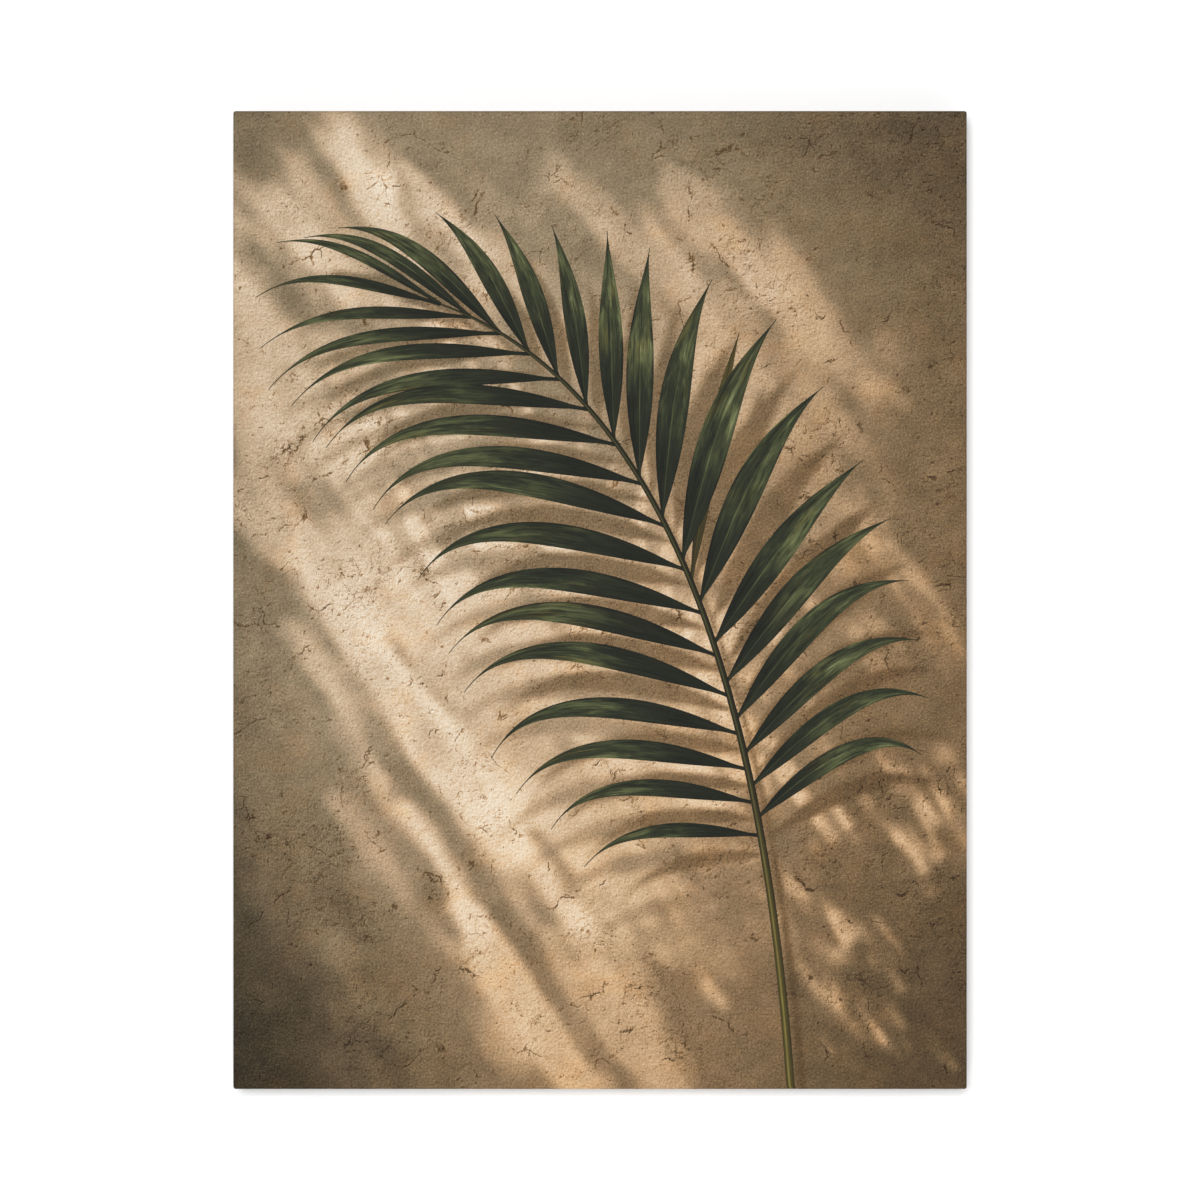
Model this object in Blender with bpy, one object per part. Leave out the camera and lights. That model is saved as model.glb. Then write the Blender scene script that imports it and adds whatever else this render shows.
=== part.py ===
"""A stretched canvas print: printed cloth pulled over four keyed stretcher bars and stapled behind.

The printed front faces -Y, X runs to the viewer's right and Z runs up. The origin is the point
where the wall's nail carries the sawtooth hanger, in the plane of the wall.
"""

import math

import bmesh
import bpy
from mathutils import Euler, Vector

# ---- Driving dimensions, in metres -------------------------------------------------------------

PRINT_WIDTH = 0.4572
PRINT_HEIGHT = 0.6096
PRINT_DEPTH = 0.03175
CORNER_RADIUS = 0.0015
EDGE_RADIUS = 0.0016

CLOTH = 0.00045
HEM = 0.022
FIT_GAP = 0.0003

BAR_WIDTH = 0.038
BAR_LIP = 0.006
BAR_FALL = 0.006
BAR_BACK_RADIUS = 0.0015
REAR_LAYER = 0.0105
TONGUE_LAYER = 0.0044
TONGUE_INSET = 0.001
TONGUE_ROOT = 0.004

KEY_ROOM = 0.009
KEY_LENGTH = 0.028
KEY_THIN_END = 0.0028
KEY_STANDS_OUT = 0.007

STAPLE_CROWN = 0.010
STAPLE_LEG = 0.007
WIRE_WIDTH = 0.00125
WIRE_THICK = 0.0006
STAPLE_INSET = 0.011
STAPLES_ON_LONG_SIDE = 10
STAPLES_ON_SHORT_SIDE = 7
CORNER_STAPLE_ALONG = 0.029
FIRST_STAPLE_ALONG = 0.058
STAPLE_SWING = math.radians(9)

HANGER_LENGTH = 0.060
HANGER_HEIGHT = 0.012
HANGER_SHEET = 0.0008
HANGER_RISE = 0.0016
HANGER_BRIDGE = 0.036
HANGER_RAMP = 0.0025
HANGER_BELOW_HEM = 0.002
TOOTH_DEPTH = 0.0024
TOOTH_PITCH = 0.0032
TEETH = 10
NAIL_SHANK_RADIUS = 0.00075
NAIL_HEAD_RADIUS = 0.0022
NAIL_LENGTH = 0.010
NAIL_FROM_END = 0.005

PAD_STANDS_OFF = 0.0032
PAD_RADIUS = 0.005
PAD_FROM_SIDE = 0.030
PAD_FROM_END = 0.056

# ---- Places that follow from them ---------------------------------------------------------------

BACK_Y = -PAD_STANDS_OFF
FRONT_Y = BACK_Y - PRINT_DEPTH
TOP_Z = HEM + HANGER_BELOW_HEM + HANGER_HEIGHT - TOOTH_DEPTH
BOTTOM_Z = TOP_Z - PRINT_HEIGHT
MIDDLE_Z = (TOP_Z + BOTTOM_Z) / 2
BAR_INSET = CLOTH + FIT_GAP
BAR_BACK_Y = BACK_Y - BAR_INSET
BAR_DEPTH = PRINT_DEPTH - 2 * BAR_INSET
NOTCH = (REAR_LAYER, REAR_LAYER + TONGUE_LAYER)
FRONT_NOTCH = (NOTCH[1], NOTCH[1] + TONGUE_LAYER)
NAIL_X = HANGER_LENGTH / 2 - NAIL_FROM_END
HANGER_MIDDLE_Z = HANGER_HEIGHT / 2 - TOOTH_DEPTH

# name, quarter turns from the bottom bar, length along the print's edge, staples on it
SIDES = (
    ("bottom", 0, PRINT_WIDTH, STAPLES_ON_SHORT_SIDE),
    ("right", 1, PRINT_HEIGHT, STAPLES_ON_LONG_SIDE),
    ("top", 2, PRINT_WIDTH, STAPLES_ON_SHORT_SIDE),
    ("left", 3, PRINT_HEIGHT, STAPLES_ON_LONG_SIDE),
)


# ---- Materials ----------------------------------------------------------------------------------


def finish(name, colour, roughness, metallic=0.0):
    material = bpy.data.materials.new(name)
    material.use_nodes = True
    shader = material.node_tree.nodes["Principled BSDF"]
    shader.inputs["Base Color"].default_value = (*colour, 1.0)
    shader.inputs["Roughness"].default_value = roughness
    shader.inputs["Metallic"].default_value = metallic
    material.diffuse_color = (*colour, 1.0)
    return material


# ---- Mesh tools ---------------------------------------------------------------------------------


def loft(name, rings, smooth=False):
    """A closed mesh skinned over rings of equal length, with a flat face on each end."""
    shape = bmesh.new()
    loops = [[shape.verts.new(point) for point in ring] for ring in rings]
    for near, far in zip(loops, loops[1:]):
        for i in range(len(near)):
            j = (i + 1) % len(near)
            shape.faces.new((near[i], near[j], far[j], far[i]))
    shape.faces.new(tuple(reversed(loops[0])))
    shape.faces.new(loops[-1])
    bmesh.ops.recalc_face_normals(shape, faces=shape.faces)
    mesh = bpy.data.meshes.new(name)
    shape.to_mesh(mesh)
    shape.free()
    if smooth:
        mesh.shade_smooth()
        mesh.set_sharp_from_angle(angle=math.radians(40))
    return mesh


def add_box(shape, low, high, matrix=None):
    """Adds a box between two corners to a bmesh, turned and moved by a matrix."""
    low, high = Vector(low), Vector(high)
    made = bmesh.ops.create_cube(shape, size=1.0)["verts"]
    for vert in made:
        vert.co = (low + high) / 2 + vert.co * (high - low)
        if matrix:
            vert.co = matrix @ vert.co


def boxes(name, corners):
    """One mesh of separate boxes, from (low, high) or (low, high, matrix) for each."""
    shape = bmesh.new()
    for corner in corners:
        add_box(shape, *corner)
    mesh = bpy.data.meshes.new(name)
    shape.to_mesh(mesh)
    shape.free()
    return mesh


def arc(middle, radius, start, end, steps):
    """Points on an arc in a plane, from one angle in degrees to another."""
    turns = (math.radians(start + (end - start) * i / steps) for i in range(steps + 1))
    return [(middle[0] + radius * math.cos(t), middle[1] + radius * math.sin(t)) for t in turns]


def turned(name, profile, sides):
    """A round solid about Y from (radius, y) pairs."""
    angles = [2 * math.pi * i / sides for i in range(sides)]
    rings = [[(r * math.cos(a), y, r * math.sin(a)) for a in angles] for r, y in profile]
    return loft(name, rings, smooth=True)


def place(name, mesh, material, location=(0, 0, 0), turn=(0, 0, 0)):
    """One piece of the print, parented to its empty."""
    if material and not mesh.materials:
        mesh.materials.append(material)
    piece = bpy.data.objects.new(name, mesh)
    bpy.context.collection.objects.link(piece)
    piece.location = location
    piece.rotation_euler = turn
    piece.parent = bpy.data.objects["canvas_print"]
    return piece


def cutter(name, mesh, location=(0, 0, 0), turn=(0, 0, 0)):
    """A shape that only cuts others, left out of the build."""
    shape = place(name, mesh, None, location, turn)
    shape.hide_render = True
    shape.display_type = "WIRE"
    return shape


def combine(piece, other, operation):
    step = piece.modifiers.new(f"{operation}_{other.name}".lower(), "BOOLEAN")
    step.operation = operation
    step.solver = "EXACT"
    step.object = other


# ---- Places along the sides ---------------------------------------------------------------------


def side_frame(quarter, inset, y):
    """Where a side's own frame sits: x along the side, y into the picture, z to the front."""
    turn = Euler((math.pi / 2, -math.pi / 2 * quarter, 0))
    reach = (PRINT_HEIGHT if quarter % 2 == 0 else PRINT_WIDTH) / 2 - inset
    outward = turn.to_matrix() @ Vector((0, -reach, 0))
    return Vector((0, y, MIDDLE_Z)) + outward, turn


def staple_places(length, count):
    """(x, turn) of each staple on a side, swung a little to and fro as a hand-held gun leaves them."""
    span = length - 2 * FIRST_STAPLE_ALONG
    for i in range(count):
        yield -span / 2 + span * i / (count - 1), STAPLE_SWING * math.sin(2.4 * i + count)


def staples_of(name, length, count):
    """(piece name, x, turn) of a side's staples, with a slanted one at each end where it is wide."""
    places = list(staple_places(length, count))
    if length == PRINT_WIDTH:
        edge = length / 2 - CORNER_STAPLE_ALONG
        places = [(-edge, math.radians(45)), *places, (edge, math.radians(-45))]
    for i, (x, turn) in enumerate(places):
        yield f"staple_{name}_{i + 1:02d}", x, turn


# ---- Pieces -------------------------------------------------------------------------------------


def cloth_ring(inset, y):
    """A rounded rectangle parallel to the print's outline, inset from it, at depth y."""
    radius = max(CORNER_RADIUS - inset, CORNER_RADIUS / 4)
    half_x = PRINT_WIDTH / 2 - inset - radius
    half_z = PRINT_HEIGHT / 2 - inset - radius
    signs = ((1, 1), (-1, 1), (-1, -1), (1, -1))
    points = []
    for quarter, (sx, sz) in enumerate(signs):
        middle = (sx * half_x, MIDDLE_Z + sz * half_z)
        points += arc(middle, radius, 90 * quarter, 90 * quarter + 90, 3)
    return [(x, y, z) for x, z in points]


def cloth_skin(depth_in):
    """The rings of one face of the cloth, from its front edge round to the end of the hem."""
    radius = EDGE_RADIUS - depth_in
    front = arc((EDGE_RADIUS, FRONT_Y + EDGE_RADIUS), radius, -90, -180, 3)
    back = arc((EDGE_RADIUS, BACK_Y - EDGE_RADIUS), radius, -180, -270, 3)
    return [cloth_ring(inset, y) for inset, y in [*front, *back, (HEM, BACK_Y - depth_in)]]


def make_canvas(material):
    """The cloth: the printed front, its four turned sides and the hem stapled behind."""
    rings = cloth_skin(0.0) + list(reversed(cloth_skin(CLOTH)))
    return place("canvas", loft("canvas", rings), material)


def bar_profile():
    """A stretcher bar's section: only its outer lip touches the cloth, the rest falls away."""
    lip = EDGE_RADIUS - BAR_INSET
    back = BAR_BACK_RADIUS
    outer_back = arc((lip, lip), lip, -180, -90, 2)
    inner_back = arc((BAR_WIDTH - back, back), back, -90, 0, 2)
    front_inner = [(BAR_WIDTH, BAR_DEPTH - BAR_FALL), (BAR_LIP, BAR_DEPTH - lip)]
    top = arc((BAR_LIP - 2 * lip, BAR_DEPTH - lip), lip, 60, 90, 1)
    outer_front = arc((lip, BAR_DEPTH - lip), lip, 90, 180, 2)
    return outer_back + inner_back + front_inner + top + outer_front


def bar_mesh(name, length):
    half = length / 2
    setback = FIT_GAP / math.sqrt(2)
    section = bar_profile()
    left = [(-half + inward + setback, inward, depth) for inward, depth in section]
    right = [(-x, inward, depth) for x, inward, depth in left]
    return loft(name, (left, right))


def slot_boxes(length):
    """The two slots of a bar, each as long as its neighbour is wide plus room for a key."""
    half, reach = length / 2, BAR_WIDTH + KEY_ROOM
    over = TONGUE_INSET
    left = ((-half - over, -over, NOTCH[0]), (-half + reach, BAR_WIDTH + over, NOTCH[1]))
    right = ((half - reach, -over, FRONT_NOTCH[0]), (half + over, BAR_WIDTH + over, FRONT_NOTCH[1]))
    return left, right


def tongue_boxes(length):
    """The two tongues of a bar, which run through its neighbours' slots."""
    half, gap = length / 2, FIT_GAP
    end, root = half - TONGUE_INSET, half - BAR_WIDTH - TONGUE_ROOT
    inner = BAR_WIDTH - TONGUE_INSET / 2
    left = ((-end, TONGUE_INSET, FRONT_NOTCH[0] + gap), (-root, inner, FRONT_NOTCH[1] - gap))
    right = ((root, TONGUE_INSET, NOTCH[0] + gap), (end, inner, NOTCH[1] - gap))
    return left, right


def make_bar(side, material):
    """A mitred stretcher bar with a slot and a tongue at each end."""
    name, quarter, edge, _ = side
    length = edge - 2 * BAR_INSET
    location, turn = side_frame(quarter, BAR_INSET, BAR_BACK_Y)
    bar = place(f"bar_{name}", bar_mesh(f"bar_{name}", length), material, location, turn)
    slots = boxes(f"slots_{name}", slot_boxes(length))
    tongues = boxes(f"tongues_{name}", tongue_boxes(length))
    combine(bar, cutter(f"slots_{name}", slots, location, turn), "DIFFERENCE")
    combine(bar, cutter(f"tongues_{name}", tongues, location, turn), "UNION")
    return bar


def key_mesh():
    """A thin hardwood wedge: x across it, y from its thin end to the end that is struck."""
    thick_end = KEY_ROOM - 2 * FIT_GAP
    nose = KEY_THIN_END / 3
    outline = (
        (0, nose),
        (nose, 0),
        (KEY_THIN_END, nose),
        (thick_end, KEY_LENGTH - nose),
        (thick_end - nose, KEY_LENGTH),
        (nose, KEY_LENGTH),
        (0, KEY_LENGTH - nose),
    )
    depths = (FIT_GAP, TONGUE_LAYER - FIT_GAP)
    return loft("key", [[(x, y, depth) for x, y in outline] for depth in depths])


def make_keys(side, mesh, material):
    """The two keys in a bar's slots, each lying against its neighbour's tongue."""
    name, quarter, edge, _ = side
    origin, turn = side_frame(quarter, BAR_INSET, BAR_BACK_Y)
    inner = edge / 2 - BAR_INSET - BAR_WIDTH
    thin_end = BAR_WIDTH + KEY_STANDS_OUT - KEY_LENGTH
    left_at = Vector((-inner + FIT_GAP, thin_end, NOTCH[0]))
    right_at = Vector((inner - FIT_GAP, thin_end, FRONT_NOTCH[0] + TONGUE_LAYER))
    matrix = turn.to_matrix()
    place(f"key_{name}_1", mesh, material, origin + matrix @ left_at, turn)
    rolled = (matrix @ Euler((0, math.pi, 0)).to_matrix()).to_euler()
    place(f"key_{name}_2", mesh, material, origin + matrix @ right_at, rolled)


def staple_mesh():
    """A flat-wire staple in a side's frame: its crown behind the cloth, its legs to the front."""
    leg, bend = STAPLE_CROWN / 2 - WIRE_THICK / 2, WIRE_THICK
    crown, tip = -FIT_GAP - WIRE_THICK / 2, STAPLE_LEG - FIT_GAP
    # x, depth and the direction that the wire's outer face looks in, in degrees
    right = [
        (leg - bend, crown, 270),
        (leg - bend * 0.3, crown + bend * 0.3, 315),
        (leg, crown + bend, 360),
        (leg, tip, 360),
    ]
    left = [(-x, depth, 540 - angle) for x, depth, angle in reversed(right)]
    return loft("staple", [wire_ring(*point) for point in left + right])


def wire_ring(x, depth, angle):
    """The wire's section where it passes (x, depth)."""
    out_x = math.cos(math.radians(angle)) * WIRE_THICK / 2
    out_z = math.sin(math.radians(angle)) * WIRE_THICK / 2
    half = WIRE_WIDTH / 2
    return [
        (x + out_x, -half, depth + out_z),
        (x + out_x, half, depth + out_z),
        (x - out_x, half, depth - out_z),
        (x - out_x, -half, depth - out_z),
    ]


def leg_hole_corners(places):
    """Boxes that clear both legs of each staple, through the hem and into the bar."""
    half_x = WIRE_THICK / 2 + FIT_GAP
    half_y = WIRE_WIDTH / 2 + FIT_GAP
    leg_x = STAPLE_CROWN / 2 - WIRE_THICK / 2
    for matrix in places:
        for x in (-leg_x, leg_x):
            yield (x - half_x, -half_y, -STAPLE_LEG / 4), (x + half_x, half_y, STAPLE_LEG), matrix


def make_staples(side, mesh, material, canvas, bar):
    """A side's staples, and the holes that their legs leave in the hem and the bar."""
    name, quarter, edge, count = side
    origin, turn = side_frame(quarter, 0, BACK_Y)
    to_world = turn.to_matrix()
    holes = []
    for piece_name, x, swing in staples_of(name, edge, count):
        spin = Euler((0, 0, swing)).to_matrix()
        at = Vector((x, STAPLE_INSET, 0))
        own_turn = (to_world @ spin).to_euler()
        place(piece_name, mesh, material, origin + to_world @ at, own_turn)
        matrix = spin.to_4x4()
        matrix.translation = at
        holes.append(matrix)
    cuts = cutter(f"leg_holes_{name}", boxes(f"leg_holes_{name}", leg_hole_corners(holes)), origin, turn)
    combine(canvas, cuts, "DIFFERENCE")
    combine(bar, cuts, "DIFFERENCE")


def hanger_rise(x):
    """How far the hanger's sheet stands off its tabs at x."""
    ramp = (HANGER_BRIDGE / 2 - abs(x)) / HANGER_RAMP
    return HANGER_RISE * min(max(ramp, 0.0), 1.0)


def hanger_stations():
    """(x, top, bottom) along the hanger: round ends, tabs, ramps, then a row of teeth."""
    half, radius = HANGER_LENGTH / 2, HANGER_HEIGHT / 4
    top, bottom = HANGER_HEIGHT / 2, -HANGER_HEIGHT / 2
    right = [(HANGER_BRIDGE / 2 - HANGER_RAMP, top, bottom), (HANGER_BRIDGE / 2, top, bottom)]
    for x, z in arc((half - radius, top - radius), radius, 90, 0, 3):
        right.append((x, z, -z))
    teeth = []
    for i in range(2 * TEETH + 1):
        depth = TOOTH_DEPTH if i % 2 == 0 else 0.0
        teeth.append(((i - TEETH) * TOOTH_PITCH / 2, top, bottom + depth))
    teeth = [tooth for tooth in teeth if abs(tooth[0]) < right[0][0] - TOOTH_PITCH / 4]
    left = [(-x, high, low) for x, high, low in reversed(right)]
    return left + teeth + right


def hanger_ring(x, top, bottom):
    back = BAR_BACK_Y + FIT_GAP + hanger_rise(x)
    low, high = HANGER_MIDDLE_Z + bottom, HANGER_MIDDLE_Z + top
    return [(x, back, low), (x, back, high), (x, back + HANGER_SHEET, high), (x, back + HANGER_SHEET, low)]


def make_hanger(metal, bar):
    """The sawtooth hanger in the middle of the top bar, with a nail through each of its tabs."""
    rings = [hanger_ring(*station) for station in hanger_stations()]
    hanger = place("hanger", loft("hanger", rings), metal)
    tab_top = BAR_BACK_Y + FIT_GAP + HANGER_SHEET
    under, head = tab_top + FIT_GAP, HANGER_SHEET
    profile = (
        (NAIL_SHANK_RADIUS / 4, under - NAIL_LENGTH),
        (NAIL_SHANK_RADIUS, under - NAIL_LENGTH + 2 * NAIL_SHANK_RADIUS),
        (NAIL_SHANK_RADIUS, under),
        (NAIL_HEAD_RADIUS, under),
        (NAIL_HEAD_RADIUS, under + head / 2),
        (NAIL_HEAD_RADIUS * 0.6, under + head),
    )
    nail = turned("hanger_nail", profile, 12)
    clear = NAIL_SHANK_RADIUS + FIT_GAP
    hole = ((clear, under - NAIL_LENGTH - FIT_GAP), (clear, under + head))
    drill = turned("nail_hole", hole, 12)
    for label, x in (("left", -NAIL_X), ("right", NAIL_X)):
        at = (x, 0, HANGER_MIDDLE_Z)
        place(f"hanger_nail_{label}", nail, metal, at)
        cuts = cutter(f"nail_hole_{label}", drill, at)
        combine(hanger, cuts, "DIFFERENCE")
        combine(bar, cuts, "DIFFERENCE")


def make_pads(material):
    """Four rubber pads on the upright bars, whose flat tops meet the wall."""
    base, radius = BAR_BACK_Y + FIT_GAP, PAD_RADIUS
    profile = ((radius, base), (radius, base * 0.45), (radius * 0.93, base * 0.15), (radius * 0.8, 0.0))
    mesh = turned("wall_pad", profile, 16)
    x = PRINT_WIDTH / 2 - PAD_FROM_SIDE
    for high, z in (("top", TOP_Z - PAD_FROM_END), ("bottom", BOTTOM_Z + PAD_FROM_END)):
        for label, sign in (("left", -1), ("right", 1)):
            place(f"wall_pad_{high}_{label}", mesh, material, (sign * x, 0, z))


def main():
    for old in list(bpy.data.objects):
        bpy.data.objects.remove(old)
    bpy.context.collection.objects.link(bpy.data.objects.new("canvas_print", None))
    printed = finish("printed_canvas", (0.36, 0.27, 0.17), 0.75)
    pine = finish("pine", (0.72, 0.52, 0.32), 0.6)
    beech = finish("key_wood", (0.66, 0.45, 0.27), 0.55)
    steel = finish("bright_steel", (0.68, 0.68, 0.67), 0.3, 1.0)
    rubber = finish("pad_rubber", (0.04, 0.04, 0.04), 0.65)
    canvas = make_canvas(printed)
    key, staple = key_mesh(), staple_mesh()
    for side in SIDES:
        bar = make_bar(side, pine)
        make_keys(side, key, beech)
        make_staples(side, staple, steel, canvas, bar)
    make_hanger(steel, bpy.data.objects["bar_top"])
    make_pads(rubber)


if __name__ == "__main__":
    main()
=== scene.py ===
"""A stretched canvas print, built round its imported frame.

The file is laid out as an add-on: PropertyGroups hold the sizes and colours, one Operator makes each
group of pieces, and main() runs them in order. The printed front faces -Y, Z runs up and the wall's
plane is y = 0. The picture is worked out by rule: a palm frond against a plaster wall in low sun.
"""

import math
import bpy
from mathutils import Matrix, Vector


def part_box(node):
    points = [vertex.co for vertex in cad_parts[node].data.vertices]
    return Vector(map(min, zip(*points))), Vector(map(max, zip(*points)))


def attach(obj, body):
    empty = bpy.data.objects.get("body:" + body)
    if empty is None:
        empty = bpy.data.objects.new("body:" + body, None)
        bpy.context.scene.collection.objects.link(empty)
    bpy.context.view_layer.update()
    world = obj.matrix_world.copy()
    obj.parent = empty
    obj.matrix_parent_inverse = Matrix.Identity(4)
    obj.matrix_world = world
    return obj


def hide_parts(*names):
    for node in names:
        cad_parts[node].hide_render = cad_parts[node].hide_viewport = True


bl_info = {
    "name": "Stretched Canvas Print",
    "version": (1, 0, 0),
    "blender": (4, 5, 0),
    "location": "3D View > Sidebar > Canvas Print",
    "description": "Makes a gallery-wrapped canvas print with its stretcher bars, staples, hanger and pads",
    "category": "Object",
}

import bmesh
import bpy
import numpy as np
from bpy.props import FloatProperty, FloatVectorProperty, IntProperty, PointerProperty
from mathutils import Vector
from mathutils.geometry import delaunay_2d_cdt

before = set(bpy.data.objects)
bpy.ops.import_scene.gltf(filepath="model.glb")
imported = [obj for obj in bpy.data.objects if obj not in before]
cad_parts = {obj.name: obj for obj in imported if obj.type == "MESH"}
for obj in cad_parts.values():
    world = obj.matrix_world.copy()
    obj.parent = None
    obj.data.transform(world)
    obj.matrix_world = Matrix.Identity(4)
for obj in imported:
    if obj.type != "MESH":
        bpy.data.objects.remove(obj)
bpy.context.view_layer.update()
PRINT_LOW, PRINT_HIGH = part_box("canvas")

HALF_WIDTH = (PRINT_HIGH.x - PRINT_LOW.x) / 2
HALF_HEIGHT = (PRINT_HIGH.z - PRINT_LOW.z) / 2
MIDDLE_Z = (PRINT_HIGH.z + PRINT_LOW.z) / 2
FRONT_Y, BACK_Y = PRINT_LOW.y, PRINT_HIGH.y
DEPTH = BACK_Y - FRONT_Y
SIDES = ("bottom", "right", "top", "left")
RIM = 0.0005  # flat strip of the front between its turned edge and its cut mesh
TIGHT = 0.0003  # least radius of a ring's corners
CORNER_STEPS = 4
WIDE = 2 * HALF_WIDTH
LEFT, RIGHT, STEM, OLIVE = range(1, 5)  # kinds of blade in the picture
LEAFLET_POINTS, STEM_POINTS, SHADOW_POINTS = 36, 120, 150  # along a blade's middle line
STEM_LIFT = 0.013  # how far the stem stands off the wall in the picture
INK = 0.75  # share of a screen colour that the ink has: the stage's light makes up the rest


# ---- Settings -----------------------------------------------------------------------------------


def length(name, description, default):
    return FloatProperty(name=name, description=description, default=default, unit="LENGTH", precision=5)


class ClothSettings(bpy.types.PropertyGroup):
    thickness: length("Thickness", "Thickness of the primed cloth", 0.00045)
    hem: length("Hem", "How far the cloth is turned over the back of the bars", 0.022)
    edge_radius: length("Edge radius", "Radius of the cloth where it turns over a bar's edge", 0.0016)
    corner_radius: length("Corner radius", "Radius of the corners as seen from the front", 0.0015)
    print_over: length("Printed hem", "How far the print runs on over the back of the bars", 0.0095)
    thread: length("Thread pitch", "Distance between two threads of the weave", 0.0009)
    step: length("Mesh step", "Distance between points of the printed mesh", 0.004)
    raw: FloatVectorProperty(
        name="Raw cloth",
        description="Colour of the unprinted cloth",
        default=(0.76, 0.72, 0.64),
        subtype="COLOR",
    )


class FrondSettings(bpy.types.PropertyGroup):
    leaflets: IntProperty(name="Leaflets a side", description="Leaflets along each side", default=17, min=3)
    seed: IntProperty(name="Seed", description="Seed of the leaflets' small differences", default=4)
    stem_width: length("Stem width", "Width of the stem where it leaves the picture", 0.0054)
    lift: length("Lift", "How far the leaflets' tips stand off the wall in the picture", 0.030)


class HardwareSettings(bpy.types.PropertyGroup):
    staple_crown: length("Staple crown", "Width of a staple over its legs", 0.010)
    wire_width: length("Wire width", "Width of a staple's flat wire", 0.00125)
    wire_thickness: length("Wire thickness", "Thickness of a staple's flat wire", 0.0006)


class StageSettings(bpy.types.PropertyGroup):
    lens: FloatProperty(name="Lens", description="Focal length in millimetres", default=100.0)
    view_width: length("View width", "Width of the view where the front of the print is", 0.7475)
    sky: FloatProperty(
        name="Sky", description="Strength of the even light from all round", default=0.30, subtype="FACTOR"
    )
    key: FloatProperty(name="Key", description="Power of the window light, in watts", default=78.0)


# ---- Shader maths -------------------------------------------------------------------------------


def math_node(operation, turned=False):
    """A method of Wire that adds a Math node."""

    def method(self, other=0.0):
        inputs = (other, self) if turned else (self, other)
        return self.board.node("ShaderNodeMath", {"operation": operation}, inputs)

    return method


class Wire:
    """A shader socket that takes part in Python arithmetic by adding Math nodes."""

    __add__ = __radd__ = math_node("ADD")
    __mul__ = __rmul__ = math_node("MULTIPLY")
    __sub__, __rsub__ = math_node("SUBTRACT"), math_node("SUBTRACT", turned=True)
    __truediv__, __pow__ = math_node("DIVIDE"), math_node("POWER")
    most, least, above = math_node("MAXIMUM"), math_node("MINIMUM"), math_node("GREATER_THAN")
    abs, fraction = math_node("ABSOLUTE"), math_node("FRACT")
    sine, cosine = math_node("SINE"), math_node("COSINE")

    def __init__(self, board, socket):
        self.board, self.socket = board, socket

    def clamped(self):
        return self.board.node("ShaderNodeMath", {"operation": "ADD", "use_clamp": True}, (self, 0.0))

    def rise(self, low, high):
        """0 below low, 1 above high and smooth between; low may be the larger."""
        if low > high:
            return 1 - self.rise(high, low)
        inputs = {"Value": self, 1: low, 2: high}
        return self.board.node("ShaderNodeMapRange", {"interpolation_type": "SMOOTHSTEP"}, inputs)


class Board:
    """A node tree under construction."""

    def plug(self, socket, value):
        if isinstance(value, Wire):
            self.tree.links.new(value.socket, socket)
        else:
            socket.default_value = (*value, 1.0) if socket.type == "RGBA" else value

    def node(self, kind, settings=None, inputs=(), output=0):
        """Adds a node: its settings first, then its sockets by name or number, or in order."""
        node = self.tree.nodes.new(kind)
        for name, value in (settings or {}).items():
            if name == "stops":
                self.set_stops(node.color_ramp.elements, value)
            else:
                setattr(node, name, value)
        for key, value in inputs.items() if isinstance(inputs, dict) else enumerate(inputs):
            self.plug(node.inputs[key], value)
        return Wire(self, node.outputs[output])

    def set_stops(self, elements, stops):
        while len(elements) < len(stops):
            elements.new(1.0)
        for element, (position, shade) in zip(elements, stops):
            element.position = position
            element.color = (*shade, 1.0)

    def vector(self, x, y, z):
        return self.node("ShaderNodeCombineXYZ", {}, (x, y, z))


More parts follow.
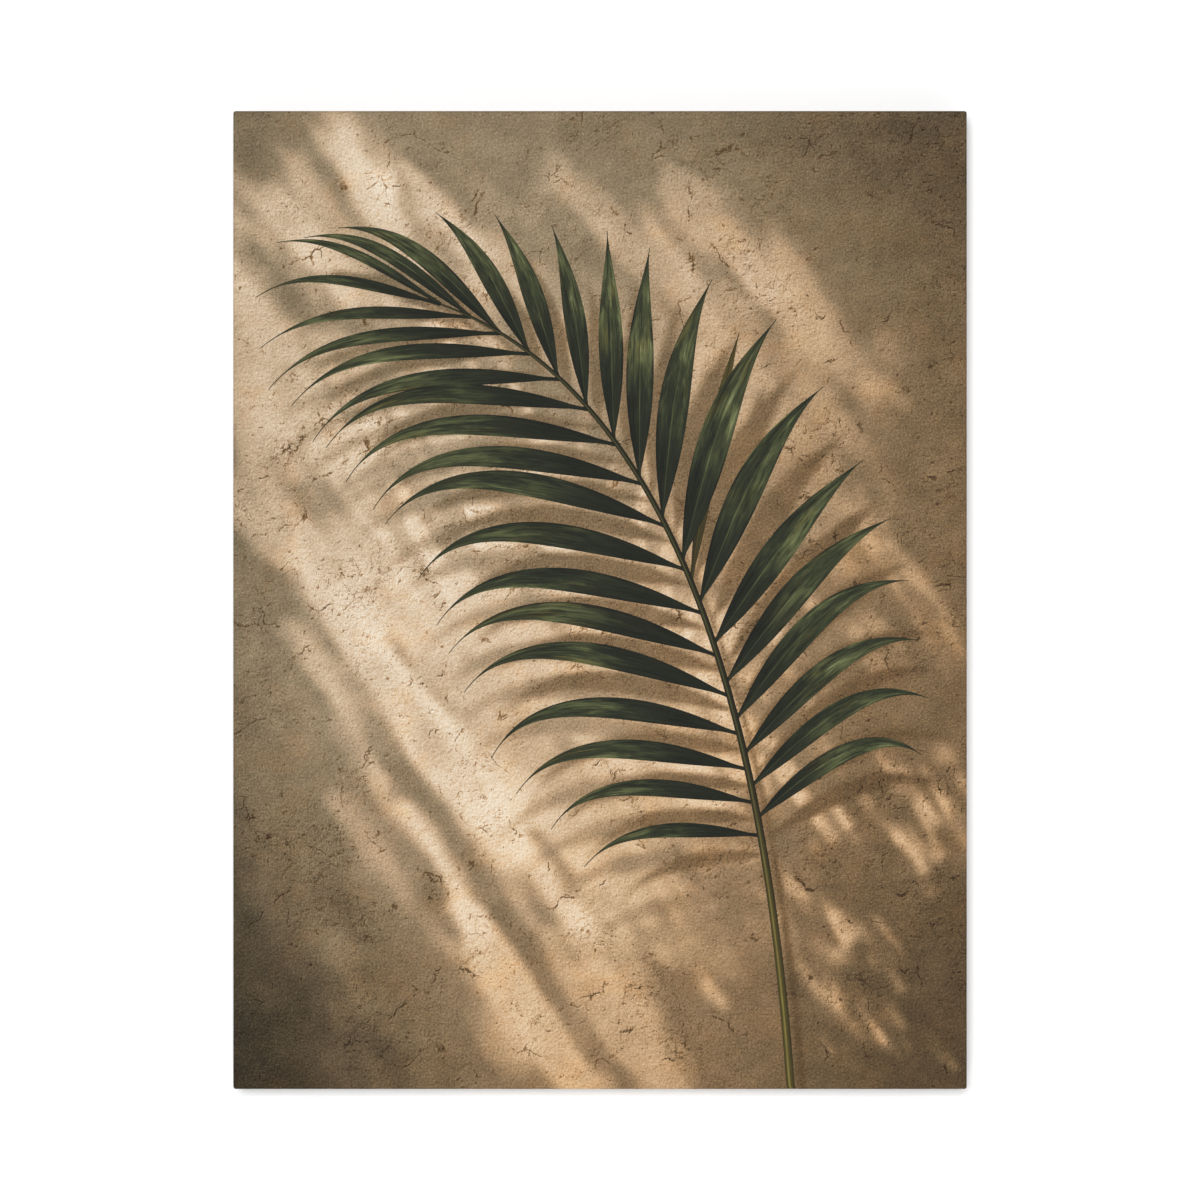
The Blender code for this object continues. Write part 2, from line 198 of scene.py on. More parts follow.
class Paint(Board):
    """A material under construction, with its Principled shader."""

    def __init__(self, name, roughness, metallic=0.0, gloss=0.15):
        self.material = bpy.data.materials.new(name)
        self.material.use_nodes = True
        self.tree = self.material.node_tree
        self.shader = self.tree.nodes["Principled BSDF"]
        self.shader.inputs["Roughness"].default_value = roughness
        self.shader.inputs["Metallic"].default_value = metallic
        self.shader.inputs["Specular IOR Level"].default_value = 0.5 if metallic else gloss

    def attribute(self, name):
        return self.node("ShaderNodeAttribute", {"attribute_name": name}, (), "Fac")

    def uv(self, name):
        return self.node("ShaderNodeUVMap", {"uv_map": name})

    def place(self):
        return self.node("ShaderNodeTexCoord", output="Object")

    def parts(self, vector):
        split = self.tree.nodes.new("ShaderNodeSeparateXYZ")
        self.plug(split.inputs[0], vector)
        return [Wire(self, socket) for socket in split.outputs]

    def shift(self, vector, offset=(0, 0, 0), scale=(1, 1, 1), turn=(0, 0, 0)):
        inputs = {"Vector": vector, "Location": offset, "Rotation": turn, "Scale": scale}
        return self.node("ShaderNodeMapping", {}, inputs)

    def noise(self, vector, scale, detail=3.0, rough=0.55, warp=0.0, output="Fac"):
        inputs = {"Vector": vector, "Scale": scale, "Detail": detail, "Roughness": rough, "Distortion": warp}
        return self.node("ShaderNodeTexNoise", {}, inputs, output)

    def cells(self, vector, scale, feature="F1"):
        inputs = {"Vector": vector, "Scale": scale}
        return self.node("ShaderNodeTexVoronoi", {"feature": feature}, inputs, "Distance")

    def ramp(self, value, stops):
        return self.node("ShaderNodeValToRGB", {"stops": stops}, (value,), "Color")

    def mix(self, amount, first, second):
        return self.node("ShaderNodeMix", {"data_type": "RGBA"}, {0: amount, 6: first, 7: second}, 2)

    def moved(self, place, noise, reach):
        """A place moved in its plane by a noise's colour, by up to reach."""
        inputs = (noise, (reach, reach, 0), place)
        return self.node("ShaderNodeVectorMath", {"operation": "MULTIPLY_ADD"}, inputs)

    def bump(self, height, distance, strength):
        return self.node("ShaderNodeBump", {}, {"Height": height, "Distance": distance, "Strength": strength})

    def set(self, **sockets):
        for name, value in sockets.items():
            self.plug(self.shader.inputs[name.replace("_", " ")], value)
        return self.material


class Plan(Board):
    """A Geometry Nodes tree under construction, with named inputs for its sizes."""

    def __init__(self, name, sizes):
        self.tree = bpy.data.node_groups.new(name, "GeometryNodeTree")
        kinds = {"Geometry": "Geometry", **dict.fromkeys(sizes, "Float"), "Material": "Material"}
        self.tree.interface.new_socket("Geometry", in_out="OUTPUT", socket_type="NodeSocketGeometry")
        for size, kind in kinds.items():
            self.tree.interface.new_socket(size, in_out="INPUT", socket_type="NodeSocket" + kind)
        start = self.tree.nodes.new("NodeGroupInput")
        self.given = {size: Wire(self, start.outputs[size]) for size in kinds}

    def finish(self, geometry):
        whole = self.node("GeometryNodeRealizeInstances", {}, (geometry,))
        inputs = {"Geometry": whole, "Material": self.given["Material"]}
        painted = self.node("GeometryNodeSetMaterial", {}, inputs)
        self.plug(self.tree.nodes.new("NodeGroupOutput").inputs[0], painted)

    def grow(self, name, places, values):
        """The plain mesh that the tree makes at the places, as a new piece."""
        seedling = link(name + "_places", places)
        modifier = seedling.modifiers.new(name, "NODES")
        modifier.node_group = self.tree
        for item in self.tree.interface.items_tree:
            if item.in_out == "INPUT" and item.name in values:
                modifier[item.identifier] = values[item.name]
        bpy.context.view_layer.update()
        grown = seedling.evaluated_get(bpy.context.evaluated_depsgraph_get())
        data = bpy.data.meshes.new_from_object(grown)
        data.name = name
        bpy.data.objects.remove(seedling)
        return link(name, data)


def linear(*shade):
    """A screen colour, 0 to 255 for each part, as the linear colour that a shader takes."""
    parts = (part / 255 for part in shade)
    return tuple(p / 12.92 if p <= 0.04045 else ((p + 0.055) / 1.055) ** 2.4 for p in parts)


# ---- The picture: a frond ------------------------------------------------------------------------


def smooth(value, low, high):
    part = np.clip((np.asarray(value, float) - low) / (high - low), 0, 1)
    return part * part * (3 - 2 * part)


def bezier(points, t):
    t = np.asarray(t, float)[:, None]
    a, b, c, d = (np.asarray(p, float) for p in points)
    return (1 - t) ** 3 * a + 3 * (1 - t) ** 2 * t * b + 3 * (1 - t) * t**2 * c + t**3 * d


def heading(angle):
    return np.array((math.cos(angle), math.sin(angle)))


class Blade:
    """A leaflet or the stem: a curved middle line with a half width along it."""

    def __init__(self, line, half, kind, seed, lift):
        self.line, self.half, self.kind, self.seed = line, half, kind, seed
        run = np.gradient(line, axis=0)
        self.run = run / np.linalg.norm(run, axis=1)[:, None]
        self.side = np.stack((-self.run[:, 1], self.run[:, 0]), 1)
        along = np.r_[0, np.cumsum(np.linalg.norm(np.diff(line, axis=0), axis=1))]
        self.along = along / along[-1]
        self.lift = STEM_LIFT + (lift - STEM_LIFT) * self.along

    def outline(self):
        """Its outline, counter-clockwise."""
        out = self.side * self.half[:, None]
        points = np.vstack((self.line - out, (self.line + out)[::-1]))
        keep = np.linalg.norm(points - np.roll(points, 1, axis=0), axis=1) > 2e-5
        return points[keep]

    def places(self, points):
        """How far along it each point lies, 0 to 1, and how far across, -1 to 1."""
        start, step = self.line[:-1], np.diff(self.line, axis=0)
        reach = (step**2).sum(1)
        part = ((points[:, None] - start) * step).sum(2) / reach
        part = np.clip(part, 0, 1)
        gap = points[:, None] - (start + part[..., None] * step)
        near = (gap**2).sum(2).argmin(1)
        rows = np.arange(len(points))
        share = part[rows, near]
        side = self.side[near] * (1 - share)[:, None] + self.side[near + 1] * share[:, None]
        half = self.half[near] * (1 - share) + self.half[near + 1] * share
        across = (gap[rows, near] * side).sum(1) / np.maximum(half, 1e-4)
        along = self.along[near] * (1 - share) + self.along[near + 1] * share
        return along, np.clip(across, -1.0, 1.0)


def leaflet(base, angle, size, width, bend, shape, kind, seed, lift):
    """A leaflet whose tip turns clockwise of its base by its bend; shape is how it widens and narrows."""
    leave, arrive = angle + bend * math.radians(21), angle - bend * math.radians(55)
    tip = base + size * heading(angle)
    knots = (base, base + 0.42 * size * heading(leave), tip - 0.33 * size * heading(arrive), tip)
    t = np.linspace(0, 1, LEAFLET_POINTS)
    rise, fall = shape
    peak = rise / (rise + fall)
    spear = (t / peak) ** rise * ((1 - t) / (1 - peak)) ** fall
    half = np.maximum(spear * width / 2, 0.0010 * (1 - t) + 0.00022)
    return Blade(bezier(knots, t), half, kind, seed, lift)


# How leaflets change up the stem: share of the stem, direction in degrees, length, greatest width
# and bend. The picture's left leaflets reach to the left, the right ones fan out upwards.
LEFT_GROWTH = (
    (0.28, 191.0, 0.112, 0.0092, -0.85),
    (0.36, 188.0, 0.147, 0.0128, -0.95),
    (0.46, 180.0, 0.168, 0.0148, -1.00),
    (0.64, 181.5, 0.173, 0.0150, -1.00),
    (0.80, 189.5, 0.167, 0.0122, -0.85),
    (0.93, 195.5, 0.146, 0.0088, -0.65),
    (1.00, 178.0, 0.115, 0.0068, -0.60),
)
RIGHT_GROWTH = (
    (0.30, 22.0, 0.111, 0.0118, 0.95),
    (0.39, 37.0, 0.135, 0.0148, 0.80),
    (0.48, 50.0, 0.147, 0.0178, 0.25),
    (0.58, 65.0, 0.161, 0.0208, 0.30),
    (0.68, 84.0, 0.148, 0.0180, 0.20),
    (0.80, 100.0, 0.115, 0.0135, -0.15),
    (0.89, 122.0, 0.105, 0.0128, -0.35),
    (0.93, 146.0, 0.121, 0.0112, -0.75),
    (1.00, 159.0, 0.108, 0.0062, -0.60),
)


def make_frond(cloth, look):
    """Every blade of the frond from the lowest to the topmost: left leaflets, right ones, the stem."""
    knots = ((0.260, -0.667), (0.236, -0.328), (0.160, 0.266), (-0.217, 0.403))
    line = bezier([(x * WIDE, z * WIDE) for x, z in knots], np.linspace(0, 1, STEM_POINTS))
    line[0, 1] = -HALF_HEIGHT + cloth.edge_radius + RIM
    gaps = np.r_[0, np.cumsum(np.linalg.norm(np.diff(line, axis=0), axis=1))]
    along = gaps / gaps[-1]

    def on_stem(s):
        return np.array([np.interp(s, along, line[:, 0]), np.interp(s, along, line[:, 1])])

    chance = np.random.default_rng(look.seed)
    sides = ((LEFT_GROWTH, LEFT, (1.20, 2.00), 0.0), (RIGHT_GROWTH, RIGHT, (1.00, 1.45), 5.0))
    blades = []
    for growth, kind, shape, seed in sides:
        rows = np.array(growth).T
        row = []
        for i in range(look.leaflets):
            u = i / (look.leaflets - 1)
            s = rows[0, 0] + (rows[0, -1] - rows[0, 0]) * (u - 0.03 * math.sin(2 * math.pi * u))
            angle, size, width, bend = (np.interp(s, rows[0], values) for values in rows[1:])
            sway = chance.normal(size=4)
            angle = math.radians(angle + 1.3 * sway[0])
            size *= 1 + 0.012 * sway[1]
            bend += 0.06 * sway[2]
            lift = look.lift * (1 + 0.12 * sway[3])
            row.append(leaflet(on_stem(s), angle, size, width, bend, shape, kind, seed + i * 0.37, lift))
        blades += row[::-1]
    olive = leaflet(on_stem(0.573), math.radians(79), 0.158, 0.0100, 0.1, (0.9, 1.1), OLIVE, 19.0, look.lift)
    half = look.stem_width / 2 * (0.16 + 0.84 * (1 - along) ** 0.5)
    stem = Blade(line, half, STEM, 0.0, STEM_LIFT)
    stem.side[0] = (-1.0, 0.0)
    return [olive, *blades, stem]


# ---- The picture: light on the wall --------------------------------------------------------------


GRID = 0.001  # step of the grids that the light is worked out on
BUSY = 0.008  # change of tone from one grid step to the next that asks for a finer mesh
REACH_X, REACH_Z = HALF_WIDTH + 0.06, HALF_HEIGHT + 0.06
GRID_X, GRID_Z = np.meshgrid(
    np.arange(-REACH_X, REACH_X, GRID), np.arange(-REACH_Z, REACH_Z, GRID), indexing="ij"
)
SUN_RUN = (0.588, -0.809)  # the way the patches of sun lie

# Parts of a blade by their lift: least, greatest, and how soft their shadow is
LIFT_BANDS = ((0.0, 0.0175, 0.7), (0.0165, 0.0235, 1.0), (0.0225, 1.0, 1.6))

# Small slits of sun low on the right: least and greatest x, z, length, half width and strength
GLINTS = 46
GLINT_RANGE = ((0.03, -0.60, 0.015, 0.003, 0.22), (0.47, -0.16, 0.060, 0.008, 0.55))

# Sun that reaches the wall through leaves out of the picture, in widths of the print from its
# middle: each patch runs from (x, z) to (x, z) and has a half width, a soft edge and a strength
SUN_PATCHES = (
    # high on the left
    (-0.350, 0.630, -0.295, 0.560, 0.026, 0.032, 0.85),
    (-0.290, 0.570, -0.205, 0.480, 0.028, 0.036, 0.80),
    (-0.500, 0.520, -0.280, 0.400, 0.045, 0.050, 0.50),
    (-0.280, 0.520, -0.170, 0.430, 0.034, 0.050, 0.45),
    (-0.443, 0.565, -0.403, 0.497, 0.016, 0.028, 0.55),
    (-0.400, 0.474, -0.358, 0.440, 0.018, 0.024, 0.55),
    (-0.510, 0.520, -0.466, 0.440, 0.014, 0.032, 0.40),
    (-0.510, 0.440, -0.400, 0.310, 0.030, 0.034, 0.42),
    # the broad band that crosses to the bottom
    (-0.480, 0.360, -0.200, -0.020, 0.085, 0.070, 0.42),
    (-0.477, 0.281, -0.239, 0.030, 0.022, 0.028, 0.50),
    (-0.510, 0.167, -0.443, 0.085, 0.020, 0.030, 0.46),
    (-0.403, 0.055, -0.295, -0.072, 0.020, 0.024, 0.85),
    (-0.320, -0.045, -0.205, -0.208, 0.030, 0.024, 0.85),
    (-0.225, -0.190, -0.125, -0.310, 0.040, 0.024, 0.85),
    (-0.135, -0.300, -0.023, -0.430, 0.042, 0.034, 0.75),
    (-0.030, -0.440, 0.110, -0.680, 0.040, 0.040, 0.62),
    (-0.260, 0.000, -0.045, -0.300, 0.070, 0.040, 0.50),
    (-0.216, 0.272, 0.090, -0.060, 0.140, 0.080, 0.72),
    (0.070, 0.000, 0.150, -0.250, 0.095, 0.060, 0.74),
    # narrow ones below it, in a faint wide one
    (-0.400, -0.050, -0.130, -0.640, 0.130, 0.140, 0.16),
    (-0.415, -0.038, -0.295, -0.245, 0.013, 0.020, 0.60),
    (-0.358, -0.276, -0.270, -0.400, 0.013, 0.022, 0.38),
    (-0.370, -0.470, -0.330, -0.550, 0.012, 0.024, 0.14),
    (-0.262, -0.285, -0.160, -0.446, 0.018, 0.018, 0.82),
    (-0.165, -0.440, -0.020, -0.680, 0.020, 0.020, 0.78),
    (-0.205, -0.420, -0.104, -0.610, 0.020, 0.022, 0.68),
    # high on the right
    (-0.057, 0.565, 0.102, 0.440, 0.020, 0.034, 0.45),
    (0.115, 0.530, 0.227, 0.440, 0.028, 0.036, 0.58),
    (0.227, 0.440, 0.364, 0.290, 0.036, 0.034, 0.66),
    (0.190, 0.400, 0.330, 0.230, 0.050, 0.050, 0.45),
    (-0.160, 0.470, 0.100, 0.310, 0.060, 0.060, 0.40),
    (0.136, 0.290, 0.330, 0.080, 0.070, 0.050, 0.38),
    # beside and below the right leaflets
    (0.352, 0.150, 0.380, 0.100, 0.012, 0.016, 0.50),
    (0.395, 0.065, 0.477, -0.083, 0.016, 0.022, 0.45),
    (0.335, -0.010, 0.395, -0.075, 0.014, 0.020, 0.38),
    (0.386, -0.215, 0.410, -0.255, 0.007, 0.014, 0.46),
    (0.415, -0.255, 0.445, -0.293, 0.010, 0.014, 0.46),
    (0.403, -0.320, 0.443, -0.395, 0.008, 0.016, 0.44),
    (0.483, -0.210, 0.505, -0.333, 0.008, 0.018, 0.36),
    (0.375, -0.452, 0.410, -0.492, 0.007, 0.014, 0.42),
    (0.250, -0.355, 0.318, -0.480, 0.012, 0.016, 0.45),
    (0.200, -0.310, 0.270, -0.370, 0.010, 0.014, 0.28),
    (0.295, -0.530, 0.375, -0.600, 0.015, 0.022, 0.34),
    (0.068, -0.370, 0.148, -0.424, 0.018, 0.022, 0.32),
    (0.130, -0.470, 0.180, -0.530, 0.012, 0.024, 0.16),
    (-0.010, -0.300, 0.180, -0.450, 0.050, 0.060, 0.24),
)


def blurred(image, along, across=None):
    """A picture blurred by a Gaussian whose sizes are in grid steps."""
    rows = np.fft.fftfreq(image.shape[0])[:, None] * (along if across is None else across)
    columns = np.fft.rfftfreq(image.shape[1])[None, :] * along
    window = np.exp(-2 * np.pi**2 * (rows**2 + columns**2))
    return np.fft.irfft2(np.fft.rfft2(image) * window, s=image.shape)


def stamp(image, centres, radii):
    """Fills discs of a picture."""
    for centre, radius in zip(centres, radii):
        middle, r = (centre + (REACH_X, REACH_Z)) / GRID, radius / GRID
        low = np.maximum((middle - r).astype(int), 0)
        high = np.minimum((middle + r).astype(int) + 2, image.shape)
        if (low < high).all():
            i, j = np.ogrid[low[0] : high[0], low[1] : high[1]]
            cover = np.clip(r - np.hypot(i - middle[0], j - middle[1]) + 0.5, 0, 1)
            part = image[low[0] : high[0], low[1] : high[1]]
            np.maximum(part, cover, out=part)


def frond_shadow(blades, away, blur, push=(0.0, 0.0)):
    """The frond's shadow, moved by each blade's lift along away and softer where the lift is more."""
    light = np.ones(GRID_X.shape)
    for low, high, soft in LIFT_BANDS:
        image = np.zeros_like(light)
        for blade in blades:
            index = np.arange(len(blade.line))
            steps = np.linspace(0, index[-1], SHADOW_POINTS)
            rows = (blade.lift, blade.half, *blade.line.T)
            lift, half, x, z = (np.interp(steps, index, row) for row in rows)
            centres = np.stack((x + lift * away[0] + push[0], z + lift * away[1] + push[1]), 1)
            chosen = (lift >= low) & (lift < high)
            stamp(image, centres[chosen], half[chosen] * 0.95)
        light *= 1 - blurred(image, blur * soft / GRID)
    return np.clip(1 - light, 0, 1)


def streaked(chance, along, across):
    """Uneven brightness in soft streaks down the sun's direction, from -1 to 1."""
    size = 2 * max(GRID_X.shape)
    field = blurred(chance.normal(size=(size, size)), along / GRID, across / GRID)
    i = ((GRID_X * -SUN_RUN[1] + GRID_Z * SUN_RUN[0]) / GRID + size / 2).astype(int) % size
    j = ((GRID_X * SUN_RUN[0] + GRID_Z * SUN_RUN[1]) / GRID + size / 2).astype(int) % size
    field = field[i, j]
    return np.clip(field / field.std() / 2, -1, 1)


def glints(chance):
    """The small slits of sun, in the same form as SUN_PATCHES."""
    for _ in range(GLINTS):
        x, z, run, half, strength = chance.uniform(*GLINT_RANGE)
        lean = chance.uniform(-0.12, 0.12)
        yield x, z, x + run * (SUN_RUN[0] + lean), z + run * SUN_RUN[1], half, 0.009, strength


def sun_patches(chance, x, z):
    """How much sun reaches each place of the wall, before the frond is in its way."""
    uneven = streaked(chance, 0.030, 0.006)
    fine = streaked(chance, 0.008, 0.0035)
    slits = streaked(chance, 0.011, 0.0026)
    dark = np.ones_like(x)
    for x0, z0, x1, z1, half, soft, strength in (*SUN_PATCHES, *glints(chance)):
        run = np.array((x1 - x0, z1 - z0))
        part = np.clip(((x - x0) * run[0] + (z - z0) * run[1]) / (run @ run), 0, 1)
        gap = np.hypot(x - x0 - part * run[0], z - z0 - part * run[1])
        gap = gap + soft * (0.95 * uneven + 0.50 * fine)
        dark *= 1 - strength * smooth(-gap, -half - soft * 1.2, -half + soft * 0.8)
    leafy = smooth(x, 0.02, 0.30) * smooth(-z, -0.25, 0.15)
    above = smooth(x, -0.42, -0.22) * smooth(-x, -0.12, 0.05)
    leafy += 0.6 * above * smooth(z, -0.05, 0.12) * smooth(-z, -0.46, -0.36)
    sun = (1 - dark) * (1 + 0.24 * uneven + 0.14 * fine)
    sun *= 1 + leafy * (1.5 * smooth(slits, -0.35, 0.45) - 0.72)
    return blurred(np.clip(sun, 0, 1), 1.2)


class WallLight:
    """Tone, sun and warmth over the picture's wall, worked out on a grid and read at any point."""

    def __init__(self, blades, seed):
        x, z = GRID_X / WIDE, GRID_Z / WIDE
        shadow = frond_shadow(blades, (0.62, -0.86), 0.0011)
        other = frond_shadow(blades[::2], (0.9, -1.3), 0.0028, (0.040, -0.048)) * 0.70
        behind = frond_shadow(blades, (0.2, -1.2), 0.0015, (-0.010, -0.020)) * 0.72
        sun = sun_patches(np.random.default_rng(seed), x, z)
        sun *= (1 - shadow) * (1 - other * smooth(x, -0.15, 0.2)) * (1 - behind * smooth(0.1 - x, -0.2, 0.1))
        shade = 0.47 - 0.11 * smooth(x, 0.10, 0.54) - 0.07 * smooth(-x, 0.32, 0.52) - 0.08 * shadow
        shade -= 0.13 * smooth(-z, 0.12, 0.66) * (0.45 + 0.55 * smooth(np.abs(x), 0.05, 0.5))
        shade -= 0.09 * smooth(z + 0.4 * x, 0.50, 0.85)
        shade -= 0.10 * smooth(-x - 0.8 * z, 0.50, 1.05) + 0.035 * smooth(-x - 0.4 * z, 0.15, 0.45)
        lit = 0.85 - 0.14 * smooth(x, -0.05, 0.35) - 0.06 * smooth(-z, 0.35, 0.68)
        warm = smooth(x - 0.45 * z, -0.45, 0.65) + 0.45 * shadow * smooth(sun, 0.9, 0.1)
        warm += 0.30 * smooth(-x - z, 0.35, 0.90)
        tone = shade + (lit - shade) * sun
        detail = blurred(np.hypot(*np.gradient(tone)), 2.0)
        self.maps = {"tone": tone, "sun": sun, "warm": warm, "detail": detail}

    def read(self, name, points):
        image = self.maps[name]
        place = (points + (REACH_X, REACH_Z)) / GRID
        i, j = np.clip(place, 0, np.array(image.shape) - 1.001).T
        i0, j0 = i.astype(int), j.astype(int)
        a, b = i - i0, j - j0
        low = image[i0, j0] * (1 - b) + image[i0, j0 + 1] * b
        high = image[i0 + 1, j0] * (1 - b) + image[i0 + 1, j0 + 1] * b
        return low * (1 - a) + high * a


# ---- The canvas mesh -----------------------------------------------------------------------------


class Outline:
    """Points round the print, counter-clockwise seen from the front, for rings at any inset."""

    def __init__(self, cloth, middle, half):
        """Two points of the lower side mark off the stem, from its middle and its half width there."""
        start = cloth.edge_radius + RIM
        self.radius, reach = cloth.corner_radius, HALF_WIDTH - start - TIGHT
        sizes = (HALF_WIDTH, HALF_HEIGHT)
        across, up = (np.linspace(0, 1, round(2 * (size - start) / (cloth.step * 0.7)) + 1) for size in sizes)
        below = across.copy()
        for edge in (middle - half, middle + half):
            share = (edge / reach + 1) / 2
            below[np.abs(below - share).argmin()] = share
        self.sides = (below, up, 1 - across[::-1], 1 - up[::-1])
        x = (below * 2 - 1) * reach
        on_stem = (x[:-1] > middle - half - 1e-6) & (x[1:] < middle + half + 1e-6)
        turn = (middle - x) / half
        self.stem = {k: [(0.0, turn[k])] * 2 + [(0.0, turn[k + 1])] * 2 for k in np.flatnonzero(on_stem)}

    def ring(self, inset):
        """The ring's points and their outward directions, both in the front's plane."""
        radius = max(self.radius - inset, TIGHT)
        x, z = HALF_WIDTH - inset - radius, HALF_HEIGHT - inset - radius
        corners = np.array(((-x, -z), (x, -z), (x, z), (-x, z), (-x, -z)))
        points, outs = [], []
        for k, shares in enumerate(self.sides):
            near, far = corners[k], corners[k + 1]
            out = heading(math.radians(90 * k - 90))
            points += [near + (far - near) * share + out * radius for share in shares]
            outs += [out] * len(shares)
            for step in range(1, CORNER_STEPS):
                turn = heading(math.radians(90 * (k + step / CORNER_STEPS) - 90))
                points.append(far + turn * radius)
                outs.append(turn)
        return np.array(points), np.array(outs)


def turned_profile(cloth, depth_in, start):
    """(inset, y, how far from the start along the cloth) from the front, round the edge, to the hem."""
    radius, over = cloth.edge_radius, cloth.print_over
    small = radius - depth_in
    near, far = FRONT_Y + radius, BACK_Y - radius
    turns = [math.radians(90 * step / 4) for step in range(1, 5)]
    rows = [(start, FRONT_Y + depth_in), (radius, FRONT_Y + depth_in)]
    rows += [(radius - small * math.sin(turn), near - small * math.cos(turn)) for turn in turns]
    shares = (0.02, 0.12, 0.25, 0.38, 0.5, 0.62, 0.75, 0.88, 0.98, 1.0)
    rows += [(radius - small, near + (far - near) * share) for share in shares]
    rows += [(radius - small * math.cos(turn), far + small * math.sin(turn)) for turn in turns]
    insets = (start, 0.005, over, over + 0.0002, 0.014, 0.018, cloth.hem)
    rows += [(inset, BACK_Y - depth_in) for inset in insets]
    run = np.r_[0, np.cumsum(np.hypot(*np.diff(rows, axis=0).T))]
    return [(inset, y, far) for (inset, y), far in zip(rows, run)]


class Sheet:
    """The canvas mesh as it grows: points, faces, and what each corner of a face carries."""

    WALL, LEAF, STEM, RAW = range(4)

    def __init__(self):
        self.points, self.flat, self.faces, self.slots, self.seeds, self.blade_uv = [], [], [], [], [], []
        self.outside = None

    def add_points(self, points, flat):
        first = len(self.points)
        self.points.extend(map(tuple, points))
        self.flat.extend(map(tuple, flat))
        return list(range(first, len(self.points)))

    def add_face(self, corners, slot, seed=0.0, blade_uv=None):
        self.faces.append(tuple(corners))
        self.slots.append(slot)
        self.seeds.append(seed)
        self.blade_uv.extend(blade_uv if blade_uv is not None else [(0.0, 0.0)] * len(corners))

    def bridge(self, near, far, slot, stem=None):
        """Joins two rings with quads that face away from their inside; stem gives the quads that show it."""
        for i, j in enumerate([*range(1, len(near)), 0]):
            uv = stem.get(i) if stem else None
            self.add_face((near[i], far[i], far[j], near[j]), Sheet.STEM if uv else slot, 0.0, uv)

    def fill(self, ring, y, points, outlines=()):
        """Adds a flat sheet's points: its corners, its triangles, its corners' numbers, what each is in."""
        sources = [Vector(self.flat[i]) for i in ring] + [Vector(point) for point in points]
        made, _, faces, came_from, _, inside = delaunay_2d_cdt(sources, [], outlines, 0, 1e-6, True)
        flat = np.array([tuple(point) for point in made])
        known = {i: ring[min(from_)] for i, from_ in enumerate(came_from) if from_ and min(from_) < len(ring)}
        rest = [i for i in range(len(made)) if i not in known]
        new = self.add_points([(flat[i][0], y, flat[i][1] + MIDDLE_Z) for i in rest], flat[rest])
        known.update(zip(rest, new))
        return flat, faces, known, inside


def grid_points(light, step, keep_x, keep_z):
    """A triangular grid over the front, twice as fine where the picture's light changes quickly."""
    layers = []
    for level, size in enumerate((step, step / 2)):
        rows = np.arange(-keep_z, keep_z, size * math.sqrt(3) / 2)
        columns = np.arange(-keep_x, keep_x, size)
        z, x = np.meshgrid(rows, columns, indexing="ij")
        x = x + (np.arange(len(rows)) % 2)[:, None] * size / 2
        points = np.stack((x.ravel(), z.ravel()), 1)
        points = points[np.abs(points[:, 0]) < keep_x]
        busy = light.read("detail", points) > BUSY
        layers.append(points[busy if level else ~busy])
    return np.vstack(layers)


def front_faces(cloth, mesh, ring, blades, light):
    """Fills the front inside its ring, cut along every blade's outline."""
    limit = cloth.edge_radius + 0.0011
    points = list(grid_points(light, cloth.step, HALF_WIDTH - limit, HALF_HEIGHT - limit))
    outlines = []
    for blade in blades:
        outline = blade.outline()
        first = len(ring) + len(points)
        outlines.append(list(range(first, first + len(outline))))
        points += list(outline)
    flat, faces, known, inside = mesh.fill(ring, FRONT_Y, points, outlines)
    corners = np.array(faces)
    top = np.array([max(ids) if ids else -1 for ids in inside])
    for face in corners[top == -1]:
        mesh.add_face([known[i] for i in face], Sheet.WALL)
    for number, blade in enumerate(blades):
        chosen = corners[top == number]
        along, across = blade.places(flat[chosen.ravel()])
        uv = np.stack((along, across), 1).reshape(-1, 3, 2)
        slot = Sheet.STEM if blade.kind == STEM else Sheet.LEAF
        for face, face_uv in zip(chosen, uv):
            mesh.add_face([known[i] for i in face], slot, blade.seed + 100 * blade.kind, map(tuple, face_uv))


def store(data, name, kind, domain, values):
    layer = data.attributes.new(name, kind, domain)
    key = "vector" if kind == "FLOAT2" else "value"
    layer.data.foreach_set(key, np.asarray(values, dtype=np.float32).ravel())


